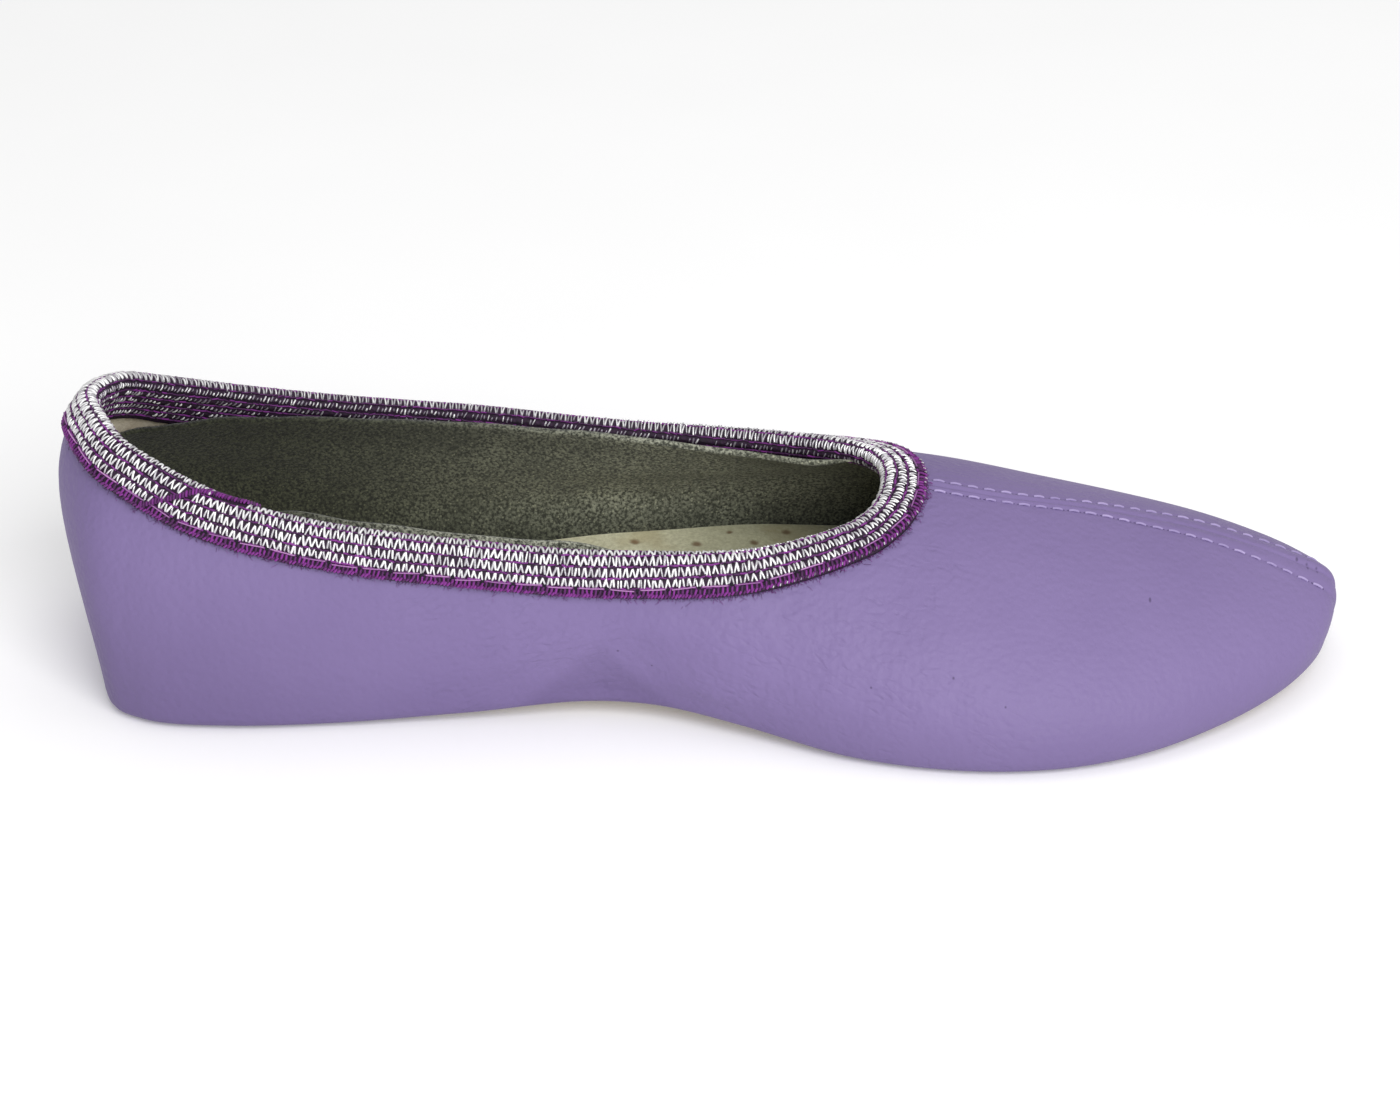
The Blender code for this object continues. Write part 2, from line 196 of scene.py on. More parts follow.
def rib(t, side):
    """Four control points of the rib that climbs from the curl to the crown line."""
    share = share_at(t)
    plan, out = edge_plan(t, side)
    low = section("lift", t) + CURL_RADIUS
    top = section("crown_z", t)
    half = np.maximum(section("crown_half", t, True), 0)
    flare = section("inner_flare" if side == INNER else "outer_flare", t)
    start = np.concatenate([plan, low[..., None]], -1)
    end = np.stack([crown_x(t), section("crown_y", t) + side * half, top], -1)
    rise = start.copy()
    rise[..., :2] += out * flare[..., None]
    rise[..., 2] += section("side_handle", t) * (top - low)
    ends = np.clip((0.45 - share) / 0.25, 0, 1) + np.clip((share - 0.90) / 0.10, 0, 1)
    across = np.stack([out[..., 0] * ends, out[..., 1]], -1)
    across /= np.maximum(np.linalg.norm(across, axis=-1, keepdims=True), 1e-9)
    roof = end.copy()
    roof[..., :2] += across * section("crown_out", t)[..., None]
    roof[..., 2] -= section("crown_drop", t)
    ahead = t_at(np.clip(share + 1e-3, 0, 1))
    behind = t_at(np.clip(share - 1e-3, 0, 1))
    slope = (section("crown_z", ahead) - section("crown_z", behind)) / (crown_x(ahead) - crown_x(behind))
    vamp = np.clip((share - 0.60) / 0.06, 0, 1)
    roof[..., 2] += vamp * np.clip(slope, -0.7, 0.2) * (roof[..., 0] - end[..., 0])
    return start, rise, roof, end


def last_point(t, h, side):
    """Point of the outer surface at rib t and height share h."""
    start, rise, roof, end = rib(t, side)
    h = h[..., None]
    return (1 - h) ** 3 * start + 3 * (1 - h) ** 2 * h * rise + 3 * (1 - h) * h**2 * roof + h**3 * end


def last_slopes(t, h, side):
    """Directions of the surface along t and along h, and its outward normal."""
    t0 = np.clip(t - 1e-4, 0, 1)
    t1 = np.clip(t + 1e-4, 0, 1)
    by_t = (last_point(t1, h, side) - last_point(t0, h, side)) / (t1 - t0)[..., None]
    by_h = (last_point(t, h + 1e-4, side) - last_point(t, h - 1e-4, side)) / 2e-4
    normal = np.cross(by_t, by_h) * -side
    return by_t, by_h, normal / np.linalg.norm(normal, axis=-1, keepdims=True)


def collar_height(x):
    """Height of the top edge's side profile, rising steeply ahead of the throat."""
    knots, values = np.array(COLLAR).T
    return curve(knots, values, x, True) + 2 * np.maximum(x - knots[-1], 0)


def halve(low, high, stays_low, count):
    """Low and high end of each span, closed in on the place where the test changes."""
    for _ in range(count):
        middle = (low + high) / 2
        below = stays_low(middle)
        low = np.where(below, middle, low)
        high = np.where(below, high, middle)
    return low, high


def collar_share(t, side):
    """Height share where each rib meets the collar profile, 1 where the rib runs on to the ridge."""
    steps = np.linspace(0, 1, 201)
    points = last_point(t[:, None], np.broadcast_to(steps, (len(t), 201)), side)
    above = points[..., 2] > collar_height(points[..., 0])
    first = np.argmax(above, axis=1)
    high = steps[first]
    low = steps[np.maximum(first - 1, 0)]

    def under(h):
        point = last_point(t, h, side)
        return point[:, 2] <= collar_height(point[:, 0])

    return np.where(above.any(axis=1), halve(low, high, under, 30)[1], 1.0)


def throat_t():
    """Rib whose crown lies on the collar profile at the front of the opening."""
    low, high = halve(np.array([t_at(0.632)]), np.array([t_at(0.680)]),
                      lambda t: section("crown_z", t) > collar_height(crown_x(t)), 40)
    return (low[0] + high[0]) / 2


THROAT_T = throat_t()


def run_along(points):
    """Length run along a line of points, from 0 at its start."""
    return np.concatenate([[0], np.cumsum(np.linalg.norm(np.diff(points, axis=0), axis=1))])


def collar_places(side, count):
    """Rib places evenly spaced along the collar edge from the heel to the throat, and the edge's length."""
    dense = np.linspace(0, THROAT_T, 900)
    share = collar_share(dense, side)
    share[-1] = 1.0
    length = run_along(last_point(dense, share, side))
    return np.interp(np.linspace(0, length[-1], count + 1), length, dense), length[-1]


def curl_point(t, side, angle, lip):
    """Point of the lower edge, rolled under by an angle and carried inward by the lip."""
    plan, out = edge_plan(t, side)
    inward = CURL_RADIUS * (1 - np.cos(angle)) + lip
    x_y = plan - out * inward
    z = section("lift", t) + CURL_RADIUS * (1 - np.sin(angle))
    return np.concatenate([x_y, z[..., None]], -1)


def smooth_step(low, high, x):
    u = np.clip((x - low) / (high - low), 0, 1)
    return u * u * (3 - 2 * u)


def bump(away, width):
    """Round rise of height 1 that dies out over about two widths."""
    return np.exp(-((away / width) ** 2))


def unit(vectors):
    return vectors / np.maximum(np.linalg.norm(vectors, axis=-1, keepdims=True), 1e-12)


# Node kinds and settings that the node trees share
NOISE = "ShaderNodeTexNoise"
CELLS = "ShaderNodeTexVoronoi"
RANGE = "ShaderNodeMapRange"
MIX = "ShaderNodeMix"
MATH = "ShaderNodeMath"
VECTOR = "ShaderNodeVectorMath"
BUMP = "ShaderNodeBump"
MARK = "ShaderNodeAttribute"
MAPPING = "ShaderNodeMapping"
SPLIT = "ShaderNodeSeparateXYZ"
SOFT = {"interpolation_type": "SMOOTHSTEP"}
BLEND = {"data_type": "RGBA"}
TINT = {"data_type": "RGBA", "blend_type": "MULTIPLY"}
TIMES = {"operation": "MULTIPLY"}
TIMES_PLUS = {"operation": "MULTIPLY_ADD"}
# Sockets by number: a range's value 0, old ends 1 and 2, new ends 3 and 4; a mix's share 0, colours 6 and 7


# Mesh and node helpers
def linear(hex_colour):
    """Linear light colour of an sRGB hex colour."""
    values = [int(hex_colour[i:i + 2], 16) / 255 for i in (1, 3, 5)]
    return tuple(v / 12.92 if v <= 0.04045 else ((v + 0.055) / 1.055) ** 2.4 for v in values) + (1.0,)


def feed(tree, node, inputs):
    """Links or sets each of the given inputs of a node."""
    for key, value in dict(inputs).items():
        if isinstance(value, bpy.types.NodeSocket):
            tree.links.new(value, node.inputs[key])
        else:
            node.inputs[key].default_value = value


def add(tree, kind, settings=(), inputs=(), out=0):
    """Adds one node with its settings and links, and gives back one of its outputs."""
    node = tree.nodes.new(kind)
    for key, value in dict(settings).items():
        setattr(node, key, value)
    feed(tree, node, inputs)
    return node.outputs[out] if len(node.outputs) else node


def per_mm(size):
    """Pattern scale that gives cells of the size in millimetres."""
    return 1 / (size * MM)


def new_material(name, colour, roughness):
    """New finish with its plain colour and roughness, and the place on the piece that its patterns read."""
    material = bpy.data.materials.new(name)
    material.use_nodes = True
    tree = material.node_tree
    shader = tree.nodes["Principled BSDF"]
    feed(tree, shader, {"Base Color": linear(colour), "Roughness": roughness})
    return material, tree, shader, add(tree, "ShaderNodeTexCoord", out="Object")


def new_piece(name, points, faces, material, closed=True, marks=None, merge=0.002):
    """Mesh object from points in millimetres, with doubled points merged and faces turned outward."""
    mesh = bpy.data.meshes.new(name)
    mesh.from_pydata(((np.asarray(points, float) + CENTRE_SHIFT) * MM).tolist(), [], faces)
    for key, values in (marks or {}).items():
        mark = mesh.attributes.new(key, "FLOAT", "POINT")
        mark.data.foreach_set("value", np.asarray(values, float).ravel())
    if closed:
        work = bmesh.new()
        work.from_mesh(mesh)
        bmesh.ops.remove_doubles(work, verts=work.verts, dist=merge * MM)
        bmesh.ops.dissolve_degenerate(work, edges=work.edges, dist=0.001 * MM)
        bmesh.ops.recalc_face_normals(work, faces=work.faces)
        work.to_mesh(mesh)
        work.free()
    mesh.materials.append(material)
    mesh.shade_smooth()
    item = bpy.data.objects.new(name, mesh)
    bpy.context.scene.collection.objects.link(item)
    return item


def bake(item):
    """Turns the piece and its modifiers into a plain mesh."""
    depsgraph = bpy.context.evaluated_depsgraph_get()
    baked = bpy.data.meshes.new_from_object(item.evaluated_get(depsgraph))
    item.modifiers.clear()
    old = item.data
    item.data = baked
    bpy.data.meshes.remove(old)
    baked.name = item.name


def closed_sheet(front, back):
    """Points and faces of a closed shell between two grids of rows by columns."""
    rows, columns = front.shape[:2]
    size = rows * columns
    number = np.arange(size).reshape(rows, columns)
    skin = np.stack([number[:-1, :-1], number[:-1, 1:], number[1:, 1:], number[1:, :-1]], -1).reshape(-1, 4)
    faces = [skin, skin[:, ::-1] + size]
    for line in (number[0], number[-1, ::-1], number[::-1, 0], number[:, -1]):
        faces.append(np.stack([line[1:], line[:-1], line[:-1] + size, line[1:] + size], -1))
    return np.concatenate([front.reshape(-1, 3), back.reshape(-1, 3)]), np.concatenate(faces).tolist()


# Yarn: one bent, tapered length of yarn, repeated by a node tree wherever a stitch, loop or rib lies
YARN_TAPER = 0.45


def yarn_tree():
    tree = bpy.data.node_groups.new("laid_yarn", "GeometryNodeTree")
    sockets = {}
    for name, kind, value in (("Places", "Geometry", None), ("Sag", "Float", 0.5), ("Sides", "Int", 5),
                              ("Steps", "Int", 4), ("Finish", "Material", None)):
        socket = tree.interface.new_socket(name, in_out="INPUT", socket_type="NodeSocket" + kind)
        if value is not None:
            socket.default_value = value
        sockets[name] = socket.identifier
    tree.interface.new_socket("Yarn", in_out="OUTPUT", socket_type="NodeSocketGeometry")
    given = tree.nodes.new("NodeGroupInput").outputs
    line = add(tree, "GeometryNodeCurveQuadraticBezier", (), {
        "Resolution": given["Steps"], "Start": (-0.5, 0, 0), "Middle": (0, 0, 0), "End": (0.5, 0, 0)})
    share = add(tree, "GeometryNodeSplineParameter", out="Factor")
    centred = add(tree, MATH, TIMES_PLUS, {0: share, 1: 2.0, 2: -1.0})
    squared = add(tree, MATH, TIMES, {0: centred, 1: centred})
    taper = add(tree, MATH, TIMES_PLUS, {0: squared, 1: -YARN_TAPER, 2: 1.0})
    tapered = add(tree, "GeometryNodeSetCurveRadius", (), {"Curve": line, "Radius": taper})
    ring = add(tree, "GeometryNodeCurvePrimitiveCircle", (), {"Resolution": given["Sides"], "Radius": 0.5})
    tube = add(tree, "GeometryNodeCurveToMesh", (), {
        "Curve": tapered, "Profile Curve": ring, "Fill Caps": True})
    x = add(tree, SPLIT, (), {0: add(tree, "GeometryNodeInputPosition")}, "X")
    x_squared = add(tree, MATH, TIMES, {0: x, 1: x})
    bow = add(tree, MATH, TIMES_PLUS, {0: x_squared, 1: -2.0, 2: 0.5})
    rise = add(tree, MATH, TIMES, {0: bow, 1: given["Sag"]})
    lift = add(tree, "ShaderNodeCombineXYZ", (), {"Z": rise})
    bowed = add(tree, "GeometryNodeSetPosition", (), {"Geometry": tube, "Offset": lift})
    turn, size = (add(tree, "GeometryNodeInputNamedAttribute", {"data_type": "FLOAT_VECTOR"}, {"Name": name})
                  for name in ("turn", "size"))
    rotation = add(tree, "FunctionNodeEulerToRotation", (), {"Euler": turn})
    laid = add(tree, "GeometryNodeInstanceOnPoints", (), {
        "Points": given["Places"], "Instance": bowed, "Rotation": rotation, "Scale": size})
    real = add(tree, "GeometryNodeRealizeInstances", (), {"Geometry": laid})
    smooth = add(tree, "GeometryNodeSetShadeSmooth", (), {0: real})
    finished = add(tree, "GeometryNodeSetMaterial", (), {"Geometry": smooth, "Material": given["Finish"]})
    add(tree, "NodeGroupOutput", (), {"Yarn": finished})
    return tree, sockets


YARN_TREE, YARN_SOCKETS = yarn_tree()


def triple(length, width, height):
    """Sizes of many yarns, each given one by one or once for all of them."""
    return np.stack(np.broadcast_arrays(length, width, height), -1)


def lay_yarn(name, points, length_ways, outward, sizes, shade, material, sag=0.5, sides=5, steps=4):
    """Yarn laid at each point: sizes are its length, width and height in millimetres."""
    x = unit(length_ways)
    z = unit(outward - x * np.sum(outward * x, -1, keepdims=True))
    y = np.cross(z, x)
    turn = np.stack([np.arctan2(y[:, 2], z[:, 2]), -np.arcsin(np.clip(x[:, 2], -1, 1)),
                     np.arctan2(x[:, 1], x[:, 0])], -1)
    sizes = np.broadcast_to(np.asarray(sizes, float), (len(points), 3)) * MM
    item = new_piece(name, points, [], material, closed=False)
    for key, kind, field, values in (("turn", "FLOAT_VECTOR", "vector", turn),
                                     ("size", "FLOAT_VECTOR", "vector", sizes),
                                     ("shade", "FLOAT", "value", np.asarray(shade, float))):
        item.data.attributes.new(key, kind, "POINT").data.foreach_set(field, values.ravel())
    nodes = item.modifiers.new("yarn", "NODES")
    nodes.node_group = YARN_TREE
    for key, value in (("Sag", sag), ("Sides", sides), ("Steps", steps), ("Finish", material)):
        nodes[YARN_SOCKETS[key]] = value
    bake(item)
    for key in ("turn", "size"):
        if key in item.data.attributes:
            item.data.attributes.remove(item.data.attributes[key])
    return item


def lay_rows(name, rows, material, **look):
    """Yarn of several rows, each with its points, ways, outward directions, sizes and shades."""
    return lay_yarn(name, *(np.concatenate(items) for items in zip(*rows)), material, **look)


# Forms: leather upper
LEATHER_COLLAR_COLUMNS = 170
LEATHER_VAMP_COLUMNS = 110
LEATHER_ROWS = 72
LEATHER_CURL_ROWS = 4
ROW_CROWDING = 1.5
SEAM_OFFSET_THROAT = 1.8
SEAM_OFFSET_TOE = 4.2
SEAM_GROOVE = 0.38
SEAM_SWELL = 0.16
STITCH_GROOVE = 0.20
FOLD_FADE_FROM = 5.0
FOLD_FADE_OVER = 8.0
THROAT_X = 34
SEAM_WIDENS = (55, 98)
SEAM_GROOVE_HALF = 0.42
STITCH_GROOVE_HALF = 0.45
FOLD_FADE_LOW = (0.0, 0.12)
# Soft edges of the painted shadow in the waist hollow
HOLLOW_SHADE_SOFT = (-2.5, 3.0)

# Sideways place of the vamp seam, measured from the crown line: x and shift
SEAM = ((34, -0.5), (56, 0.0), (63, 1.0), (70, 2.1), (80, 2.5), (89, 2.6), (97, 1.5), (103, 0.1), (108, -1.1),
        (113, -1.5))

# Soft folds of each side in millimetres: x and z of both ends, half width, and height
INNER_FOLDS = (
    (-32.0, 15.0, -8.0, 22.5, 4.6, 0.80),
    (-4.0, 19.5, 6.0, 20.0, 7.0, 0.70),
    (-0.5, 15.0, 1.0, 5.0, 6.5, 0.55),
    (2.0, 12.0, 48.0, 19.0, 7.0, 0.35),
    (36.0, 26.0, 47.0, 25.0, 5.0, -0.35),
    (-62.0, 15.0, -34.0, 22.0, 3.0, -0.16),
    (-50.0, 11.0, -28.0, 18.0, 2.4, -0.14),
    (-76.0, 17.0, -56.0, 24.0, 2.6, -0.13),
    (-42.0, 8.0, -24.0, 13.0, 2.2, -0.12),
    (8.0, 20.0, 34.0, 12.0, 2.6, -0.13),
    (16.0, 23.0, 42.0, 15.0, 2.4, -0.11),
    (-2.0, 15.0, 18.0, 9.5, 2.4, -0.12),
)
OUTER_FOLDS = (
    (-20.0, 16.0, 4.0, 19.0, 6.0, 0.35),
    (4.0, 20.0, 30.0, 13.0, 3.0, -0.14),
    (-55.0, 13.0, -30.0, 20.0, 3.0, -0.14),
)

# Three-cornered hollow of the inner side's waist: top corner, height, half width at the sole, slope inward
HOLLOW_X = -17.5
HOLLOW_TOP = 16.6
HOLLOW_HEIGHT = 13.0
HOLLOW_HALF = 14.0
HOLLOW_SLOPE = 0.16
HOLLOW_ROUNDING = 4.0
HOLLOW_START = 0.12


def fold_height(points, folds):
    """Height of the soft folds at each point of a side wall."""
    total = np.zeros(points.shape[:-1])
    for x0, z0, x1, z1, width, height in folds:
        start = np.array([x0, z0])
        run = np.array([x1 - x0, z1 - z0])
        flat = points[..., [0, 2]] - start
        share = np.clip(flat @ run / (run @ run), 0, 1)
        far = np.linalg.norm(flat - share[..., None] * run, axis=-1)
        total += height * bump(far, width)
    return total


def hollow_line(points):
    """Height of the hollow's upper border at each point."""
    return HOLLOW_TOP - HOLLOW_HEIGHT * np.abs(points[..., 0] - HOLLOW_X) / HOLLOW_HALF


def waist_hollow(points):
    """Depth of the hollow where the leather draws in under the arch."""
    below = hollow_line(points) - points[..., 2]
    soft = 0.5 * (below + np.sqrt(below**2 + HOLLOW_ROUNDING))
    return HOLLOW_SLOPE * np.maximum(soft - HOLLOW_START, 0)


def side_folds(points, h, side):
    """Folds of a side wall, faded out under the binding and at the lower edge."""
    depth = fold_height(points, INNER_FOLDS if side == INNER else OUTER_FOLDS)
    below_edge = collar_height(points[..., 0]) - points[..., 2] - FOLD_FADE_FROM
    faded = smooth_step(0.0, FOLD_FADE_OVER, below_edge)
    depth *= np.where(points[..., 0] > THROAT_X, 1.0, faded) * smooth_step(*FOLD_FADE_LOW, h)
    if side == INNER:
        depth -= waist_hollow(points)
    return depth


def ridge_y(x):
    """Sideways place of the vamp's centre seam."""
    crown = section("crown_y", t_at(np.clip((x + TOE_LEAN * 0.3 - HEEL_SEAT_X) / SOLE_LENGTH, 0, 1)))
    return crown + table_curve(SEAM, x)


def seam_offset(x):
    """Distance of each stitch row from the centre seam."""
    return SEAM_OFFSET_THROAT + (SEAM_OFFSET_TOE - SEAM_OFFSET_THROAT) * smooth_step(*SEAM_WIDENS, x)


def leather_height(points, h, t, side):
    """How far the leather stands off the plain last."""
    depth = side_folds(points, h, side)
    vamp = smooth_step(THROAT_T, THROAT_T + 0.01, t)
    away = np.abs(points[..., 1] - ridge_y(points[..., 0]))
    row = seam_offset(points[..., 0])
    seam = -SEAM_GROOVE * bump(away, SEAM_GROOVE_HALF) + SEAM_SWELL * bump(away - 0.5 * row, 0.4 * row)
    seam -= STITCH_GROOVE * bump(away - row, STITCH_GROOVE_HALF)
    return depth + vamp * seam


def leather_columns():
    """Rib places of the leather's columns, even along the collar and then along the vamp."""
    collar = collar_places(INNER, LEATHER_COLLAR_COLUMNS)[0]
    vamp = THROAT_T + (1 - THROAT_T) * np.linspace(0, 1, LEATHER_VAMP_COLUMNS + 1)[1:] ** 1.1
    return np.concatenate([collar, vamp])


def build_leather(material):
    """Wall of the upper from the turned-under lip to the collar, closed over the vamp."""
    t = leather_columns()
    last = len(t) - 1
    angles = np.linspace(np.pi / 2, 0, LEATHER_CURL_ROWS + 1)[:-1]
    steps = 1 - (1 - np.linspace(0, 1, LEATHER_ROWS + 1)) ** ROW_CROWDING
    rows = 1 + len(angles) + len(steps)
    walls = {}
    for side in (INNER, OUTER):
        top = collar_share(t, side)
        top[LEATHER_COLLAR_COLUMNS:] = 1.0
        h = top[None, :] * steps[:, None]
        ribs = np.broadcast_to(t, h.shape)
        normal = last_slopes(ribs, np.clip(h, 1e-4, 1 - 1e-4), side)[2]
        normal[:, -1] = normal[:, -2]
        walls[side] = [h, ribs, last_point(ribs, h, side), normal]
    ridge = unit(walls[INNER][3][-1, LEATHER_COLLAR_COLUMNS:] + walls[OUTER][3][-1, LEATHER_COLLAR_COLUMNS:])
    sides = {}
    for side in (INNER, OUTER):
        h, ribs, wall, normal = walls[side]
        normal[-1, LEATHER_COLLAR_COLUMNS:] = ridge
        wall = wall + normal * leather_height(wall, h, ribs, side)[..., None]
        drawn_in = wall[0] - curl_point(t, side, 0.0, 0.0)
        lines = [curl_point(t, side, np.pi / 2, LIP_LENGTH)]
        lines += [curl_point(t, side, angle, 0.0) + drawn_in * (1 - np.sin(angle)) for angle in angles]
        sides[side] = np.concatenate([np.array(lines), wall])
    points = []
    number = {}
    columns = [(i, INNER) for i in range(last + 1)] + [(i, OUTER) for i in range(last - 1, 0, -1)]
    for column, (i, side) in enumerate(columns):
        for row in range(rows):
            if row == rows - 1 and i >= LEATHER_COLLAR_COLUMNS and side == OUTER:
                number[column, row] = number[i, row]
                continue
            number[column, row] = len(points)
            points.append(sides[side][row, i])
    spots = np.array(points)
    # Painted shadow in the waist hollow on the inner side, kept as a mark that the leather's finish reads
    hollow_shade = smooth_step(*HOLLOW_SHADE_SOFT, hollow_line(spots) - spots[:, 2]) * (spots[:, 1] < 0)
    faces = []
    for column in range(len(columns)):
        after = (column + 1) % len(columns)
        for row in range(rows - 1):
            corners = ((column, row), (after, row), (after, row + 1), (column, row + 1))
            face = tuple(dict.fromkeys(number[corner] for corner in corners))
            if len(face) > 2:
                faces.append(face)
    item = new_piece("upper_leather", points, faces, material, marks={"drawn_in": hollow_shade}, merge=0.08)
    wall = item.modifiers.new("wall", "SOLIDIFY")
    wall.thickness = WALL * MM
    wall.offset = -1.0
    wall.use_rim = True
    bake(item)
    return item


# Forms: folded knit binding, measured along the edge, round the fold, and off the wall
BAND_COLUMNS = 320
DEPTH_STEP = 0.4
DEPTHS = np.arange(0, 12.01, DEPTH_STEP)
FOLD_OUT = GAP + BINDING_THICKNESS
FOLD_RADIUS = (FOLD_OUT + WALL + GAP + BINDING_THICKNESS) / 2
FOLD_CENTRE = FOLD_OUT - FOLD_RADIUS
FOLD_START = FOLD_RADIUS - GAP - BINDING_THICKNESS
QUARTER = FOLD_RADIUS * np.pi / 2
BAND_END_OUTSIDE = 9.35
BAND_END_INSIDE = -(QUARTER + BINDING_DEPTH_INSIDE - FOLD_START)
LOOP_PITCH = 0.59
BAND_LINES = 60
KNIT_SWELL = 0.30
EDGE_SWELL = 0.10

# How deep the knit and each kind of yarn lie below the strip's face
KNIT_SINK = 0.42
OUTSIDE_LOOP_SINK = 0.34
INSIDE_LOOP_SINK = 0.28
EDGE_RIB_SINK = 0.30
GROOVE_LINE_SINK = 0.24
TOPSTITCH_SINK = 0.08
BEAD_SINK = 0.02
BAND_HOLE_SINK = 0.02

# Rows of silver loops round the fold: middle and length in millimetres, outside positive
OUTSIDE_ROWS = ((0.55, 1.85), (2.68, 1.80), (4.78, 1.75), (6.72, 1.60))
INSIDE_ROWS = ((-1.65, 1.2), (-3.6, 1.3), (-5.4, 1.3), (-7.2, 1.3), (-9.0, 1.3))
EDGE_FROM = 7.6

# Purple ribs of the strip's lower edge: middle round the fold, length, lean and pitch
EDGE_RIBS = ((EDGE_FROM + 0.70, 1.20, 0.12, 0.74), (BAND_END_OUTSIDE - 0.42, 0.80, 0.9, 0.58))

# Purple lines in the grooves between the rows: place round the fold and width
GROOVE_LINES = ((-0.62, 0.30), (1.62, 0.40), (3.73, 0.40), (5.80, 0.40), (7.60, 0.50), (-2.70, 0.30),
                (-4.50, 0.30), (-6.30, 0.30), (-8.10, 0.30), (-9.9, 0.45))
GROOVE_LINE_PITCH = 1.13
TOPSTITCH_PITCH = 5.2
TOPSTITCH_ROUND = 7.62
BEAD_PITCH = 1.16
BEAD_ROUND = 9.05
FUZZ_COUNT = 3600


def walk_down(t, h, side, along_edge):
    """Points, normals and downward directions of the wall, walked squarely away from the collar edge."""
    normal = last_slopes(t, h, side)[2]
    down = unit(np.cross(normal, along_edge) * side)
    found = [(last_point(t, h, side), normal, down)]
    for _ in DEPTHS[1:]:
        by_t, by_h, normal = last_slopes(t, h, side)
        down = unit(down - normal * np.sum(down * normal, -1, keepdims=True))
        a = np.sum(by_t * by_t, -1)
        b = np.sum(by_t * by_h, -1)
        c = np.sum(by_h * by_h, -1)
        p = np.sum(by_t * down, -1) * DEPTH_STEP
        q = np.sum(by_h * down, -1) * DEPTH_STEP
        t = np.clip(t + (c * p - b * q) / (a * c - b * b), 0, 1)
        h = np.clip(h + (a * q - b * p) / (a * c - b * b), 0, 1)
        found.append((last_point(t, h, side), last_slopes(t, h, side)[2], down))
    return np.array(found)


def collar_walls():
    """Wall below the collar round the whole edge, and the length along the edge of each column."""
    walls = []
    lengths = []
    for side in (INNER, OUTER):
        t, length = collar_places(side, BAND_COLUMNS)
        h = collar_share(t, side)
        h[-1] = 1.0
        edge = last_point(t, h, side)
        mirror = np.array([1.0, -1.0, 1.0])
        padded = np.concatenate([edge[1:2] * mirror, edge, edge[-2:-1] * mirror])
        tangent = padded[2:] - padded[:-2]
        tangent[0] = (0.0, side, 0.0)
        tangent[-1] = (0.0, -side, 0.0)
        wall = walk_down(t, h, side, unit(tangent))
        walls.append(wall if side == INNER else wall[:, :, ::-1])
        lengths.append(length)
    joined = np.concatenate([walls[0], walls[1][:, :, 1:]], axis=2)
    inner = np.linspace(0, lengths[0], BAND_COLUMNS + 1)
    outer = lengths[0] + np.linspace(0, lengths[1], BAND_COLUMNS + 1)[1:]
    return joined, np.concatenate([inner, outer])


EDGE_WALLS, EDGE_LENGTHS = collar_walls()
EDGE_TOTAL = EDGE_LENGTHS[-1]
EDGE_THROAT = EDGE_LENGTHS[BAND_COLUMNS]


def wall_place(s, off, depth):
    """Point, normal and downward direction at s along the edge, off the wall and below the edge."""
    column = np.interp(np.mod(s, EDGE_TOTAL), EDGE_LENGTHS, np.arange(len(EDGE_LENGTHS)))
    i = np.clip(column.astype(int), 0, len(EDGE_LENGTHS) - 2)
    level = np.clip(depth, 0, DEPTHS[-1] - 1e-6) / DEPTH_STEP
    k = np.clip(level.astype(int), 0, len(DEPTHS) - 2)
    u = (column - i)[..., None]
    v = (level - k)[..., None]
    found = []
    for part in range(3):
        grid = EDGE_WALLS[:, part]
        low = grid[k, i] * (1 - u) + grid[k, i + 1] * u
        high = grid[k + 1, i] * (1 - u) + grid[k + 1, i + 1] * u
        found.append(low * (1 - v) + high * v)
    point, normal, down = found
    normal = unit(normal)
    down = unit(down)
    return point + normal * off[..., None] + down * np.minimum(depth, 0)[..., None], normal, down


def edge_x(s):
    """Lengthwise place of the collar edge at s."""
    return np.interp(np.mod(s, EDGE_TOTAL), EDGE_LENGTHS, EDGE_WALLS[0, 0, :, 0])


def inner_s(x):
    """Length along the edge on the inner side at a lengthwise place."""
    return np.interp(x, EDGE_WALLS[0, 0, :BAND_COLUMNS + 1, 0], EDGE_LENGTHS[:BAND_COLUMNS + 1])


# The strip's rear end, lapped over its front end on the inner side near the heel: x and place round the fold
LAP = ((-93.2, 8.6), (-91.4, 6.3), (-88.7, 3.7), (-86.2, 1.3), (-84.0, 0.75), (-81.0, 0.5), (-78.5, 0.0),
       (-76.5, -1.4))
LAP_STEP = 0.55


def lap_s(round_fold):
    """Where the lapped end lies along the edge, at each place round the fold."""
    rows = np.array(LAP)[::-1]
    return inner_s(np.interp(round_fold, rows[:, 1], rows[:, 0]))


def lap_rise(s, round_fold):
    """Extra height of the lapped rear end, fading towards the heel."""
    behind = lap_s(round_fold) - s
    return LAP_STEP * smooth_step(-0.4, 0.5, behind) * smooth_step(26, 8, behind) * (s < EDGE_THROAT)


def band_place(s, round_fold, lift):
    """Point of the binding with its directions: along the edge, round the fold and outward."""
    s = np.asarray(s, float)
    g = np.asarray(round_fold, float)
    angle = np.clip(g / FOLD_RADIUS, -np.pi / 2, np.pi / 2)
    rise = lift + lap_rise(np.mod(s, EDGE_TOTAL), g)
    beyond = np.maximum(np.abs(g) - QUARTER, 0)
    off = FOLD_CENTRE + (FOLD_RADIUS + rise) * np.sin(angle)
    depth = FOLD_START - (FOLD_RADIUS + rise) * np.cos(angle) + beyond
    point, normal, down = wall_place(s, off, depth)
    sine = np.sin(angle)[..., None]
    cosine = np.cos(angle)[..., None]
    outward = normal * sine - down * cosine
    round_way = normal * cosine + down * sine
    return point, np.cross(round_way, outward), round_way, outward


